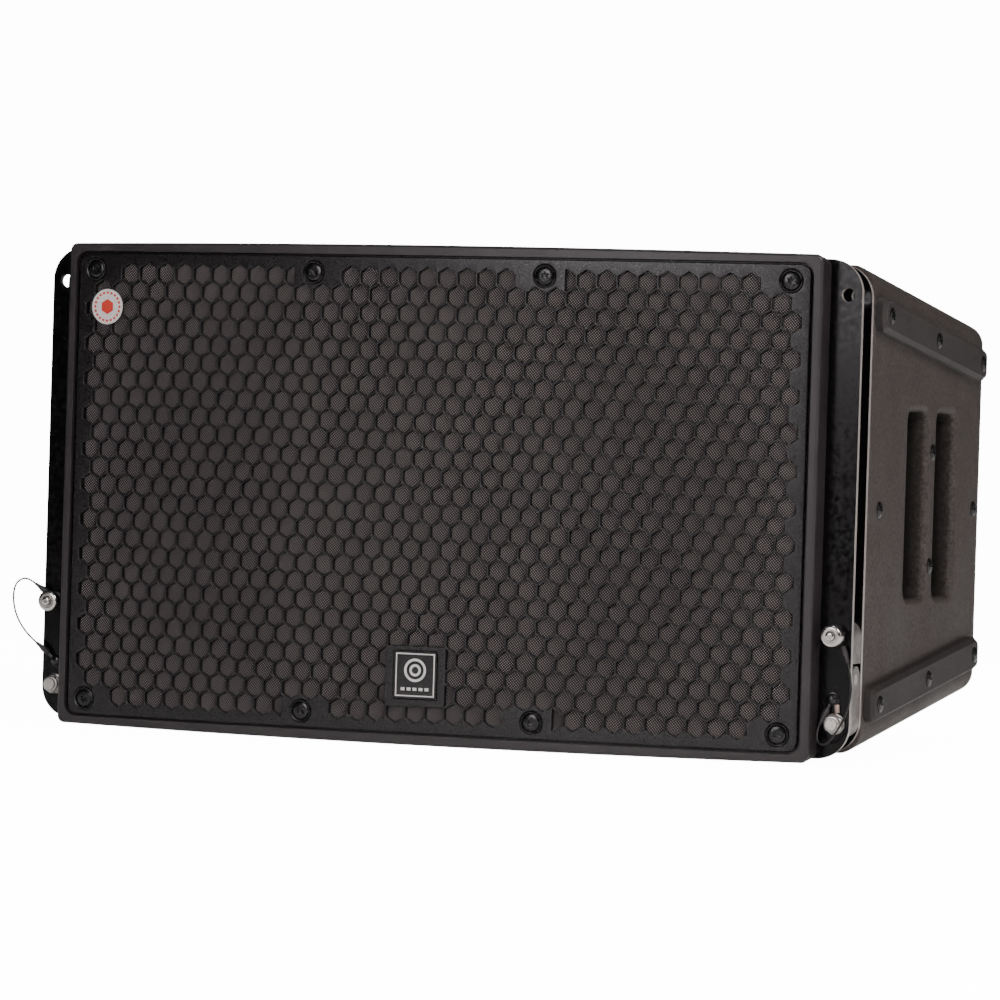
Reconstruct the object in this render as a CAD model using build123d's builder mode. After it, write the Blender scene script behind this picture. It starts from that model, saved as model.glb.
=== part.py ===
"""Line array speaker: a tapered plywood cabinet with a curved front grille, side rigging
plates, articulated link arms, locking pins, two woofers, a horn and an amplifier module.

Design frame: +Z up, +X to the speaker's own left (the viewer's right), front facing -Y.
Y = 0 is where the front frame's corners lie and Z = 0 is mid-height. Every piece is moved
by STAND when it is written, so the written parts stand on Z = 0 with X = Y = 0 mid-plan.
"""
from build123d import *
from math import cos, radians, sin, sqrt, tan
import os

os.makedirs("parts", exist_ok=True)

# ---- driving dimensions, millimetres ----
HALF_W = 313.7          # half width over the rigging plates and cabinet sides
HALF_H = 178.0          # half height at Y = 0
TAPER = tan(radians(6.0))
REAR_Y = 371.0
PLY = 18.0
RECESS = 24.0           # how far the rear panel sits inside the rear edges
PANEL_Y = REAR_Y - RECESS
EDGE_R = 16.0           # long outer edges of the cabinet
CORNER_R = 20.0         # upright rear corners

FRAME_HALF_W = 290.7    # front frame
BULGE = 15.4            # how far the middle of the front stands ahead of its ends
FRONT_R = (FRAME_HALF_W**2 + BULGE**2) / (2 * BULGE)
LIP = 6.0
GRILLE_GAP = 2.0
GRILLE_T = 4.0

PLATE_T = 4.5           # rigging plates
PLATE_Y = 21.0          # front face of the front plate
SLOT = 20.5             # space between front and back plate
PLATE_IN = 268.0        # inner edge of the front plate
NECK_W = 286.0          # half width of the cabinet's neck between the rigging slots
PLATE_R = 24.0
BACK_Y = PLATE_Y + PLATE_T + SLOT
BODY_Y = BACK_Y + PLATE_T
NECK_Y = PLATE_Y + PLATE_T

HOLE_X = 303.3          # the column of rigging holes
PIVOT_Z = -150.4
TOP_HOLE_Z = 150.4
LINK_PITCH = 62.0       # pivot to pin hole
PIN_Z = PIVOT_Z + LINK_PITCH
PIN_R = 4.76
BOLT_R = 4.0
RUN = 0.06              # running clearance on a radius
FRONT_BOLT_X = NECK_W - 9
BACK_BOLT_X = 298.0
FRONT_BOLTS = (-120.0, -40.0, 40.0, 120.0)
BACK_BOLTS = (-40.0, 40.0, 105.0)
RIG_BOLT_R = 3.0

STAND = (0.0, -177.8, 179.4)
BIG = 800.0


def half_height(y):
    """Half height of the tapered body at depth y."""
    return HALF_H - TAPER * y


def save(builder, name):
    builder.part.label = name
    export_step(builder.part.moved(Location(STAND)), f"parts/{name}.step")


def xz(y):
    """A sketch plane facing -Y at depth y, its x along +X and its y along +Z."""
    return Plane(origin=(0, y, 0), x_dir=(1, 0, 0), z_dir=(0, -1, 0))


def side_name(side):
    return "right" if side > 0 else "left"


# ---- cabinet ----
def taper_block(y0, y1, half_w, inset):
    """A tapered block, sloped above and below like the body, inset from its faces."""
    with BuildPart() as block:
        with BuildSketch(Plane.YZ.offset(-half_w)):
            with BuildLine():
                Polyline(
                    (y0, half_height(y0) - inset),
                    (y1, half_height(y1) - inset),
                    (y1, inset - half_height(y1)),
                    (y0, inset - half_height(y0)),
                    close=True,
                )
            make_face()
        extrude(amount=2 * half_w)
    return block.part


with BuildPart() as body_hull:
    with BuildSketch(Plane.XY.offset(-BIG / 2)):
        with BuildLine():
            Polyline(
                (-NECK_W, NECK_Y), (NECK_W, NECK_Y), (NECK_W, BODY_Y), (HALF_W, BODY_Y),
                (HALF_W, REAR_Y), (-HALF_W, REAR_Y), (-HALF_W, BODY_Y), (-NECK_W, BODY_Y),
                close=True,
            )
        make_face()
    extrude(amount=BIG)
    fillet(body_hull.edges().filter_by(Axis.Z).group_by(Axis.Y)[-1], CORNER_R)
    add(taper_block(0, REAR_Y + 50, HALF_W + 50, 0), mode=Mode.INTERSECT)
    outline = body_hull.faces().sort_by(Axis.Z)[-1].edges() + body_hull.faces().sort_by(Axis.Z)[0].edges()
    rounded = [e for e in outline if abs(e.center().X) > HALF_W - 12 or e.center().Y > REAR_Y - 12]
    fillet(rounded, EDGE_R)

# Pockets in the wood behind the back plates, for the pivot bolt's head and the pin's tip.
with BuildPart() as rigging_pockets:
    for side in (-1, 1):
        with BuildSketch(xz(BODY_Y - 1)):
            with Locations((side * HOLE_X, PIVOT_Z)):
                Circle(9.0)
            with Locations((side * HOLE_X, TOP_HOLE_Z), (side * HOLE_X, PIN_Z)):
                Circle(7.0)
        extrude(amount=-13)

# The panels are glued up from plain blocks, with a hairline seam between them.
SEAM = 0.02


def seam_across(y):
    """Parts the panel that is being built at a depth y."""
    with Locations((0, y + SEAM / 2, 0)):
        Box(BIG, SEAM, 2 * BIG, mode=Mode.SUBTRACT)


def seam_level(z, y):
    """Parts the panel that is being built at a height z, behind a depth y."""
    with Locations((0, y, z)):
        Box(BIG, 2 * BIG, SEAM, align=(Align.CENTER, Align.MIN, Align.CENTER), mode=Mode.SUBTRACT)


for name, low in (("cabinet_top", False), ("cabinet_bottom", True)):
    with BuildPart() as panel:
        add(body_hull.part)
        add(taper_block(0, REAR_Y + 50, HALF_W + 50, PLY), mode=Mode.SUBTRACT)
        add(rigging_pockets.part, mode=Mode.SUBTRACT)
        keep = (Align.CENTER, Align.CENTER, Align.MAX if low else Align.MIN)
        Box(BIG, 2 * BIG, BIG, align=keep, mode=Mode.INTERSECT)
        seam_across(BODY_Y)
    save(panel, name)

# Handle slots, the screws round them and the cup behind them.
BAR_Y = 218.0
HANDLE_Z = 3.0
GRIP_SLOTS = ((152.0, 206.0), (230.0, 284.0))
GRIP_HALF_H = 68.5
GRIP_CORNER = 9.0
BAR_SCREWS = ((BAR_Y, 42.0), (BAR_Y, -42.0))
SIDE_SCREWS = ((80.0, 0.0), (338.0, 0.0))
SIDE_IN = HALF_W - PLY
SCREW_R = 2.5
GRIP_ROUND = 5.0  # rounds the edge that the fingers pull on
SKID_Y = (56.0, 341.0)
SKID_SCREW_Y = (70.0, 198.0, 326.5)
SKID_DROP = 33.0
SKID_H = 25.0
SKID_PROUD = 8.0


def side_plane(side, x):
    """A sketch plane on an outer side, looking inwards from outside, +Y and +Z in it."""
    return Plane(origin=(side * x, 0, 0), x_dir=(0, 1, 0), z_dir=(1, 0, 0))


def skid_screw_spots():
    return [(y, s * (half_height(y) - SKID_DROP)) for y in SKID_SCREW_Y for s in (-1, 1)]


for side in (-1, 1):
    with BuildPart() as panel:
        with BuildSketch(Plane.XY.offset(-BIG / 2)):
            with BuildLine():
                Polyline(
                    (side * PLATE_IN, NECK_Y), (side * NECK_W, NECK_Y), (side * NECK_W, BODY_Y),
                    (side * HALF_W, BODY_Y), (side * HALF_W, REAR_Y), (side * SIDE_IN, REAR_Y),
                    (side * SIDE_IN, BODY_Y + PLY), (side * PLATE_IN, BODY_Y + PLY),
                    close=True,
                )
            make_face()
        extrude(amount=BIG)
        add(body_hull.part, mode=Mode.INTERSECT)
        add(taper_block(0, REAR_Y + 50, HALF_W + 50, PLY), mode=Mode.INTERSECT)
        with BuildSketch(side_plane(side, HALF_W - PLY / 2)):
            for y0, y1 in GRIP_SLOTS:
                with Locations(((y0 + y1) / 2, HANDLE_Z)):
                    RectangleRounded(y1 - y0, 2 * GRIP_HALF_H, GRIP_CORNER)
        extrude(amount=PLY, both=True, mode=Mode.SUBTRACT)
        slot_rims = panel.edges().filter_by(
            lambda e: abs(abs(e.center().X) - HALF_W) < 0.01
            and GRIP_SLOTS[0][0] - 1 < e.center().Y < GRIP_SLOTS[1][1] + 1
            and abs(e.center().Z - HANDLE_Z) < GRIP_HALF_H + 1
        )
        fillet(slot_rims, GRIP_ROUND)
        with BuildSketch(side_plane(side, HALF_W - PLY / 2)):
            with Locations(*BAR_SCREWS, *SIDE_SCREWS, *skid_screw_spots()):
                Circle(SCREW_R + 0.05)
        extrude(amount=PLY, both=True, mode=Mode.SUBTRACT)
        add(rigging_pockets.part, mode=Mode.SUBTRACT)
        for x, spots, y in ((FRONT_BOLT_X, FRONT_BOLTS, NECK_Y), (BACK_BOLT_X, BACK_BOLTS, BODY_Y)):
            with BuildSketch(xz(y)):
                with Locations(*[(side * x, z) for z in spots]):
                    Circle(RIG_BOLT_R)
            extrude(amount=-14, mode=Mode.SUBTRACT)
        seam_across(BODY_Y)
        seam_across(BODY_Y + PLY)
        for end in (-1, 1):
            seam_level(HANDLE_Z + end * (GRIP_HALF_H + SEAM / 2), BODY_Y + PLY)
            seam_level(HANDLE_Z + end * (GRIP_HALF_H - GRIP_CORNER), BODY_Y + PLY)
    save(panel, f"cabinet_side_{side_name(side)}")

BAFFLE_T = 18.0
WOOFER_X = 160.0
WOOFER_HOLE_R = 94.0
HORN_HALF_W = 52.0
HORN_HALF_H = 128.0
PORT_X = 160.0

with BuildPart() as front_baffle:
    add(taper_block(NECK_Y, NECK_Y + BAFFLE_T, PLATE_IN, PLY))
    with BuildSketch(xz(NECK_Y)):
        with Locations((-WOOFER_X, 0), (WOOFER_X, 0)):
            Circle(WOOFER_HOLE_R)
        Rectangle(2 * HORN_HALF_W, 2 * HORN_HALF_H)
        with Locations(*[(s * PORT_X, t * 127) for s in (-1, 1) for t in (-1, 1)]):
            SlotOverall(120, 36)
    extrude(amount=-BAFFLE_T, mode=Mode.SUBTRACT)
save(front_baffle, "front_baffle")

AMP_HALF_W = 190.0
AMP_HALF_H = 88.0
AMP_SCREWS = [(x, s * 81) for x in (-182, 0, 182) for s in (-1, 1)]
BRACKET_Z = 106.0
BRACKET_SCREWS = [(x, s * BRACKET_Z) for x in (-32, 32) for s in (-1, 1)]
with BuildPart() as rear_panel:
    add(taper_block(PANEL_Y - PLY, PANEL_Y, SIDE_IN, PLY))
    with BuildSketch(xz(PANEL_Y)):
        Rectangle(2 * AMP_HALF_W - 26, 2 * AMP_HALF_H - 26)
        with Locations(*AMP_SCREWS, *BRACKET_SCREWS):
            Circle(2.05)
    extrude(amount=PLY, both=True, mode=Mode.SUBTRACT)
    with BuildSketch(Plane.YZ):
        with Locations(SIDE_SCREWS[1]):
            Circle(SCREW_R + 0.05)
    extrude(amount=SIDE_IN, both=True, mode=Mode.SUBTRACT)
save(rear_panel, "rear_panel")

BRACE_END = 220.0
with BuildPart() as internal_braces:
    for side in (-1, 1):
        with BuildSketch(Plane.YZ.offset(side * 72 - 6)):
            with BuildLine():
                Polyline(
                    (NECK_Y + BAFFLE_T, half_height(NECK_Y + BAFFLE_T) - PLY),
                    (BRACE_END, half_height(BRACE_END) - PLY),
                    (BRACE_END, half_height(BRACE_END) - PLY - 38),
                    (NECK_Y + BAFFLE_T, half_height(NECK_Y + BAFFLE_T) - PLY - 18),
                    close=True,
                )
            make_face()
        extrude(amount=12)
    mirror(about=Plane.XY)
    for side in (-1, 1):
        with BuildSketch(Plane.XY.offset(-60)):
            with Locations((side * (SIDE_IN - 10), 80)):
                Rectangle(20, 18)
        extrude(amount=120)
        with BuildSketch(side_plane(side, SIDE_IN - 10)):
            with Locations((80, 0)):
                Circle(SCREW_R + 0.05)
        extrude(amount=12, both=True, mode=Mode.SUBTRACT)
save(internal_braces, "internal_braces")


# ---- front frame and grille ----
def front_disc(offset, z0, z1):
    """The round-fronted column whose face is the bulged front, set back by offset."""
    with BuildPart() as column:
        with BuildSketch(Plane.XY.offset(z0)):
            with Locations((0, FRONT_R - BULGE)):
                Circle(FRONT_R - offset)
            with Locations((0, 0)):
                Rectangle(2 * HALF_W, 200, mode=Mode.INTERSECT)
        extrude(amount=z1 - z0)
    return column.part


FRAME_BACK_Y = NECK_Y
GRILLE_HALF_W = FRAME_HALF_W - LIP - GRILLE_GAP
GRILLE_HALF_H = HALF_H - LIP - GRILLE_GAP + 0.6
WINDOW_HALF_W = 264.5
GRILLE_SCREW_R = 3.0
CUP_R = 8.3
CUP_H = 4.3
WINDOW_HALF_H = 146.0
SCREW_SPOTS = [(sx * x, sz * 158.7) for x in (89.0, 268.3) for sx in (-1, 1) for sz in (-1, 1)]
LEDGE = 6.4             # offset of the inner ledge that the grille screws into

with BuildPart() as front_recess:
    with BuildSketch(xz(-BULGE - 10)):
        RectangleRounded(2 * (FRAME_HALF_W - LIP), 2 * (HALF_H - LIP), 9)
    extrude(amount=-(BULGE + 24))
    add(front_disc(LEDGE, -HALF_H, HALF_H), mode=Mode.SUBTRACT)

with BuildPart() as bezel_frame:
    add(taper_block(-BULGE - 5, FRAME_BACK_Y, FRAME_HALF_W, 0))
    fillet(bezel_frame.edges().filter_by(Axis.Y, tolerance=15), 5.5)
    add(front_disc(0, -200, 200), mode=Mode.INTERSECT)
    front_edges = bezel_frame.faces().filter_by(GeomType.CYLINDER).sort_by(SortBy.AREA)[-1].edges()
    fillet(front_edges, 2.0)
    add(front_recess.part, mode=Mode.SUBTRACT)
    with BuildSketch(xz(-BULGE - 10)):
        RectangleRounded(2 * WINDOW_HALF_W, 2 * WINDOW_HALF_H, 12)
    extrude(amount=-80, mode=Mode.SUBTRACT)
    for side in (-1, 1):
        with BuildSketch(xz(PLATE_Y)):
            with Locations((side * (PLATE_IN + 50), 0)):
                Rectangle(101, 2 * HALF_H + 20)
        extrude(amount=-40, mode=Mode.SUBTRACT)
    with BuildSketch(xz(0)):
        with Locations(*SCREW_SPOTS):
            Circle(GRILLE_SCREW_R + 0.05)
    extrude(amount=30, both=True, mode=Mode.SUBTRACT)
save(bezel_frame, "bezel_frame")

CUP_POCKET_R = CUP_R + 0.1
BADGE_W, BADGE_H, BADGE_Z = 33.0, 34.0, -128.8
LABEL_SPOT = (-257.7, 131.0)
LABEL_R = 13.0

with BuildPart() as grille:
    add(front_disc(1.0, -GRILLE_HALF_H, GRILLE_HALF_H))
    add(front_disc(1.0 + GRILLE_T, -GRILLE_HALF_H, GRILLE_HALF_H), mode=Mode.SUBTRACT)
    with BuildSketch(xz(-60)):
        RectangleRounded(2 * GRILLE_HALF_W, 2 * GRILLE_HALF_H, 8)
    extrude(amount=-120, mode=Mode.INTERSECT)
    with BuildSketch(xz(-60)):
        with Locations(*SCREW_SPOTS):
            Circle(CUP_POCKET_R)
    extrude(amount=-120, mode=Mode.SUBTRACT)
    with BuildSketch(xz(-60)):
        with Locations((0, BADGE_Z)):
            RectangleRounded(BADGE_W + 0.6, BADGE_H + 0.6, 1.5)
    extrude(amount=-(60 - BULGE + 1 + 1.4), mode=Mode.SUBTRACT)
save(grille, "grille")

with BuildPart() as grille_fabric:
    add(front_disc(1.2 + GRILLE_T, -GRILLE_HALF_H, GRILLE_HALF_H))
    add(front_disc(2.2 + GRILLE_T, -GRILLE_HALF_H, GRILLE_HALF_H), mode=Mode.SUBTRACT)
    with BuildSketch(xz(-60)):
        RectangleRounded(2 * GRILLE_HALF_W - 14, 2 * GRILLE_HALF_H - 14, 6)
    extrude(amount=-120, mode=Mode.INTERSECT)
    with BuildSketch(xz(-60)):
        with Locations(*SCREW_SPOTS):
            Circle(CUP_POCKET_R + 0.5)
    extrude(amount=-120, mode=Mode.SUBTRACT)
save(grille_fabric, "grille_fabric")


def front_y(x, offset=0.0):
    """Depth of the curved front at x."""
    return FRONT_R - BULGE - sqrt((FRONT_R - offset) ** 2 - x * x)


with BuildPart() as cup_washers:
    for x, z in SCREW_SPOTS:
        face_y = front_y(abs(x) + 6)
        with BuildSketch(xz(face_y + 0.4)):
            with Locations((x, z)):
                Circle(CUP_R)
        extrude(amount=-CUP_H)
        with BuildSketch(xz(face_y + 0.4)):
            with Locations((x, z)):
                Circle(7.0)
        extrude(amount=-2.6, mode=Mode.SUBTRACT)
        with BuildSketch(xz(face_y + 0.4)):
            with Locations((x, z)):
                Circle(GRILLE_SCREW_R + 0.1)
        extrude(amount=-CUP_H, mode=Mode.SUBTRACT)
save(cup_washers, "grille_cup_washers")

with BuildPart() as grille_screws:
    for x, z in SCREW_SPOTS:
        face_y = front_y(abs(x) + 6)
        with BuildSketch(xz(face_y + 0.2)):
            with Locations((x, z)):
                Circle(6.7)
        extrude(amount=-2.7)
        with BuildSketch(xz(face_y + 2.8)):
            with Locations((x, z)):
                Circle(GRILLE_SCREW_R)
        extrude(amount=-14)
        with BuildSketch(xz(face_y + 0.2)):
            with Locations((x, z)):
                RegularPolygon(2.5, 6)
        extrude(amount=-2.0, mode=Mode.SUBTRACT)
save(grille_screws, "grille_screws")

with BuildPart() as badge:
    with BuildSketch(xz(-BULGE + 0.9)):
        with Locations((0, BADGE_Z)):
            RectangleRounded(BADGE_W, BADGE_H, 1.2)
    extrude(amount=-1.4)
save(badge, "badge")

with BuildPart() as round_label:
    add(front_disc(0.6, -200, 200))
    add(front_disc(0.9, -200, 200), mode=Mode.SUBTRACT)
    with BuildSketch(xz(-60)):
        with Locations(LABEL_SPOT):
            Circle(LABEL_R)
    extrude(amount=-120, mode=Mode.INTERSECT)
save(round_label, "round_label")


# ---- woofers ----
CONE_R = 76.0
COIL_R = 25.0
CONE_DEPTH = 40.0
MOTOR_R = 62.0
BASKET_Y = NECK_Y + BAFFLE_T
BASKET_DEPTH = 62.0
FLANGE_T = 4.0


def ring(radius, bore, y, length, x):
    """A flat ring of the given length, running back from depth y."""
    with BuildPart() as tube:
        with BuildSketch(xz(y)):
            with Locations((x, 0)):
                Circle(radius)
                Circle(bore, mode=Mode.SUBTRACT)
        extrude(amount=-length)
    return tube.part


with BuildPart() as woofer_baskets:
    for x in (-WOOFER_X, WOOFER_X):
        add(ring(103, 86, NECK_Y - FLANGE_T, FLANGE_T, x))
        add(ring(92, 86, NECK_Y, BAFFLE_T, x))
        with BuildSketch(Plane(origin=(x, 0, 0), x_dir=(1, 0, 0), z_dir=(0, 0, 1))):
            with BuildLine():
                Polyline((86, BASKET_Y), (92, BASKET_Y), (66, BASKET_Y + 56), (60, BASKET_Y + 56), close=True)
            make_face()
        revolve(axis=Axis((x, 0, 0), (0, 1, 0)))
        add(ring(66, 34, BASKET_Y + 50, 6, x))
        with BuildSketch(xz(BASKET_Y + 6)):
            with Locations((x, 0)):
                with PolarLocations(84, 6):
                    Rectangle(40, 40)
        extrude(amount=-38, mode=Mode.SUBTRACT)
        with BuildSketch(xz(0)):
            with Locations((x, 0)):
                with PolarLocations(98, 8):
                    Circle(2.5)
        extrude(amount=-60, mode=Mode.SUBTRACT)
save(woofer_baskets, "woofer_baskets")

MOTOR_Y = BASKET_Y + 56
with BuildPart() as woofer_motors:
    for x in (-WOOFER_X, WOOFER_X):
        add(ring(58, COIL_R + 1.6, MOTOR_Y, 8, x))
        add(ring(MOTOR_R, COIL_R + 8, MOTOR_Y + 8, 20, x))
        add(ring(58, 6, MOTOR_Y + 28, 8, x))
        add(ring(COIL_R - 2.0, 6, MOTOR_Y + 2, 26, x))
save(woofer_motors, "woofer_motors")

with BuildPart() as woofer_surrounds:
    for x in (-WOOFER_X, WOOFER_X):
        with BuildSketch(Plane(origin=(x, 0, 0), x_dir=(1, 0, 0), z_dir=(0, 0, 1))):
            with BuildLine():
                roll_out = CenterArc((81, NECK_Y), 5.0, 0, -180)
                roll_in = CenterArc((81, NECK_Y), 4.0, 0, -180)
                Line(roll_out @ 0, roll_in @ 0)
                Line(roll_out @ 1, roll_in @ 1)
            make_face()
        revolve(axis=Axis((x, 0, 0), (0, 1, 0)))
save(woofer_surrounds, "woofer_surrounds")

with BuildPart() as woofer_spiders:
    for x in (-WOOFER_X, WOOFER_X):
        add(ring(60, COIL_R + 1.0, BASKET_Y + 46.5, 1.2, x))
save(woofer_spiders, "woofer_spiders")

for side in (-1, 1):
    x = side * WOOFER_X
    with BuildPart() as cone:
        with BuildSketch(Plane(origin=(x, 0, 0), x_dir=(1, 0, 0), z_dir=(0, 0, 1))):
            with BuildLine():
                Polyline(
                    (COIL_R - 1, NECK_Y + 40), (CONE_R - 0.4, NECK_Y + 1), (CONE_R - 0.4, NECK_Y + 2.6),
                    (COIL_R - 1, NECK_Y + 41.6),
                    close=True,
                )
            make_face()
        revolve(axis=Axis((x, 0, 0), (0, 1, 0)))
        with BuildSketch(Plane(origin=(x, 0, 0), x_dir=(1, 0, 0), z_dir=(0, 0, 1))):
            with BuildLine():
                cap = ThreePointArc((0, NECK_Y + 20), (20, NECK_Y + 25), (33, NECK_Y + 34))
                Line(cap @ 1, (33, NECK_Y + 35.6))
                Line((33, NECK_Y + 35.6), (0, NECK_Y + 22))
                Line((0, NECK_Y + 22), cap @ 0)
            make_face()
        revolve(axis=Axis((x, 0, 0), (0, 1, 0)))
    save(cone, f"woofer_cone_{side_name(side)}")
    with BuildPart() as coil:
        add(ring(COIL_R, COIL_R - 0.9, NECK_Y + 41.7, 40, x))
    save(coil, f"voice_coil_{side_name(side)}")

# ---- horn, driver, ports and lining ----
with BuildPart() as waveguide:
    with BuildSketch(xz(NECK_Y - 4)):
        Rectangle(2 * HORN_HALF_W - 1, 2 * HORN_HALF_H - 1)
    with BuildSketch(xz(NECK_Y + 110)):
        Rectangle(34, 150)
    loft()
    with BuildSketch(xz(NECK_Y - 4)):
        Rectangle(2 * HORN_HALF_W - 9, 2 * HORN_HALF_H - 9)
    with BuildSketch(xz(NECK_Y + 110)):
        Rectangle(26, 142)
    loft(mode=Mode.SUBTRACT)
    with BuildSketch(xz(NECK_Y + 110)):
        Rectangle(44, 160)
        Rectangle(20, 120, mode=Mode.SUBTRACT)
    extrude(amount=-6)
save(waveguide, "waveguide_horn")

DRIVER_Y = NECK_Y + 116
with BuildPart() as compression_driver:
    with BuildSketch(xz(DRIVER_Y)):
        with Locations((0, -34), (0, 34)):
            Circle(33)
    extrude(amount=-8)
    with BuildSketch(xz(DRIVER_Y + 8)):
        with Locations((0, -34), (0, 34)):
            Circle(31)
    extrude(amount=-36)
save(compression_driver, "compression_drivers")

with BuildPart() as bass_ports:
    for s in (-1, 1):
        for t in (-1, 1):
            with BuildSketch(xz(NECK_Y)):
                with Locations((s * PORT_X, t * 127)):
                    SlotOverall(119.6, 35.6)
                    SlotOverall(114, 30, mode=Mode.SUBTRACT)
            extrude(amount=-70)
save(bass_ports, "bass_ports")

with BuildPart() as damping_pads:
    for z in (-1, 1):
        with Locations((0, 185, z * 142)):
            Box(440, 130, 46)
    add(taper_block(0, REAR_Y, SIDE_IN, PLY), mode=Mode.INTERSECT)
    with Locations((0, 185, 0)):
        Box(160, 140, BIG, mode=Mode.SUBTRACT)
save(damping_pads, "damping_pads")


# ---- amplifier module ----
AMP_T = 3.0
AMP_FACE = PANEL_Y + AMP_T
CONTROL_Z = -56.0
POWER_X = (-150.0, -112.0)
SIGNAL_X = (-44.0, -4.0, 36.0)
KNOB_X = 84.0
SWITCH_X = 148.0
LIGHT_X = (106.0, 114.0, 122.0)
SOCKET_R = 11.9
LIGHT_R = 1.6
SHAFT_R = 3.0
BUSH_R = 3.95

with BuildPart() as amplifier_panel:
    with BuildSketch(xz(PANEL_Y)):
        RectangleRounded(2 * AMP_HALF_W, 2 * AMP_HALF_H, 6)
        with Locations(*[(x, CONTROL_Z) for x in POWER_X + SIGNAL_X]):
            Circle(SOCKET_R + 0.1, mode=Mode.SUBTRACT)
        with Locations((KNOB_X, CONTROL_Z)):
            Circle(BUSH_R + 0.05, mode=Mode.SUBTRACT)
        with Locations((SWITCH_X, CONTROL_Z)):
            Rectangle(28.2, 20.2, mode=Mode.SUBTRACT)
        with Locations(*[(x, CONTROL_Z) for x in LIGHT_X]):
            Circle(LIGHT_R + 0.05, mode=Mode.SUBTRACT)
        with Locations(*AMP_SCREWS):
            Circle(2.05, mode=Mode.SUBTRACT)
    extrude(amount=-AMP_T)
save(amplifier_panel, "amplifier_panel")

FIN_PITCH = 12.0
with BuildPart() as heat_sink:
    with BuildSketch(xz(AMP_FACE)):
        with Locations((0, 22)):
            Rectangle(344, 104)
    extrude(amount=-5)
    with BuildSketch(xz(AMP_FACE + 5)):
        with Locations((0, 22)):
            with GridLocations(FIN_PITCH, 1, 28, 1):
                Rectangle(2.4, 104)
    extrude(amount=-(RECESS - AMP_T - 6))
save(heat_sink, "heat_sink")


def sockets(spots, bore, core_r):
    """Round panel sockets, each a flanged cup with a core or pins set back in its bore."""
    with BuildPart() as group:
        for x in spots:
            with BuildSketch(xz(AMP_FACE)):
                with Locations((x, CONTROL_Z)):
                    RectangleRounded(28, 32, 2)
            extrude(amount=-2)
            with BuildSketch(xz(AMP_FACE)):
                with Locations((x, CONTROL_Z)):
                    Circle(SOCKET_R)
            extrude(amount=26)
            with BuildSketch(xz(AMP_FACE + 2)):
                with Locations((x, CONTROL_Z)):
                    Circle(bore)
            extrude(amount=20, mode=Mode.SUBTRACT)
            with BuildSketch(xz(AMP_FACE - 18)):
                with Locations((x, CONTROL_Z)):
                    if core_r > 2:
                        Circle(core_r)
                    else:
                        with PolarLocations(4, 3):
                            Circle(core_r)
            extrude(amount=-7)
    return group


save(sockets(POWER_X, 9.5, 5.0), "power_connectors")
save(sockets(SIGNAL_X, 9.0, 1.2), "signal_connectors")

with BuildPart() as level_knob:
    with BuildSketch(xz(PANEL_Y - 10)):
        with Locations((KNOB_X, CONTROL_Z)):
            Circle(SHAFT_R)
    extrude(amount=-(10 + AMP_T + 1.2))
    with BuildSketch(xz(AMP_FACE + 1)):
        with Locations((KNOB_X, CONTROL_Z)):
            Circle(9.5)
    extrude(amount=-14)
    chamfer(level_knob.edges().group_by(Axis.Y)[-1], 1.0)
    with BuildSketch(xz(AMP_FACE + 14)):
        with Locations((KNOB_X, CONTROL_Z + 6)):
            Rectangle(1.4, 5)
    extrude(amount=-2, mode=Mode.SUBTRACT)
save(level_knob, "level_knob")

ROCKER_TILT = 10.0
ROCKER_Y = AMP_FACE - 5.0
ROCKER_R = 6.7
with BuildPart() as control_housings:
    with BuildSketch(xz(PANEL_Y)):
        with Locations((KNOB_X, CONTROL_Z)):
            Circle(9)
            Circle(SHAFT_R + RUN, mode=Mode.SUBTRACT)
    extrude(amount=12)
    with BuildSketch(xz(PANEL_Y)):
        with Locations((KNOB_X, CONTROL_Z)):
            Circle(BUSH_R)
            Circle(SHAFT_R + RUN, mode=Mode.SUBTRACT)
    extrude(amount=-AMP_T - 0.5)
    with BuildSketch(xz(AMP_FACE)):
        with Locations((SWITCH_X, CONTROL_Z)):
            Rectangle(28, 20)
    extrude(amount=22)
    with BuildSketch(xz(AMP_FACE)):
        with Locations((SWITCH_X, CONTROL_Z)):
            RectangleRounded(32, 24, 2)
    extrude(amount=-1.4)
    with BuildSketch(xz(AMP_FACE + 1.4)):
        with Locations((SWITCH_X, CONTROL_Z)):
            Rectangle(22, 14)
    extrude(amount=14.4, mode=Mode.SUBTRACT)
    with BuildSketch(Plane.YZ.offset(SWITCH_X)):
        with Locations((ROCKER_Y, CONTROL_Z)):
            Circle(1.5 + RUN)
    extrude(amount=12.5, both=True, mode=Mode.SUBTRACT)
save(control_housings, "control_housings")

tilt = radians(ROCKER_TILT)
rocker_plane = Plane(origin=(SWITCH_X, ROCKER_Y, CONTROL_Z), x_dir=(0, cos(tilt), sin(tilt)), z_dir=(1, 0, 0))
with BuildPart() as power_switch:
    with BuildSketch(rocker_plane):
        Circle(ROCKER_R)
        with Locations((-1, 0)):
            Rectangle(11.4, 20, mode=Mode.INTERSECT)
    extrude(amount=10.8, both=True)
    with BuildSketch(rocker_plane):
        Circle(1.5)
    extrude(amount=12.4, both=True)
save(power_switch, "power_switch")

with BuildPart() as status_lights:
    with BuildSketch(xz(PANEL_Y - 2)):
        with Locations(*[(x, CONTROL_Z) for x in LIGHT_X]):
            Circle(LIGHT_R)
    extrude(amount=-(AMP_T + 3))
save(status_lights, "status_lights")

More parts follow.
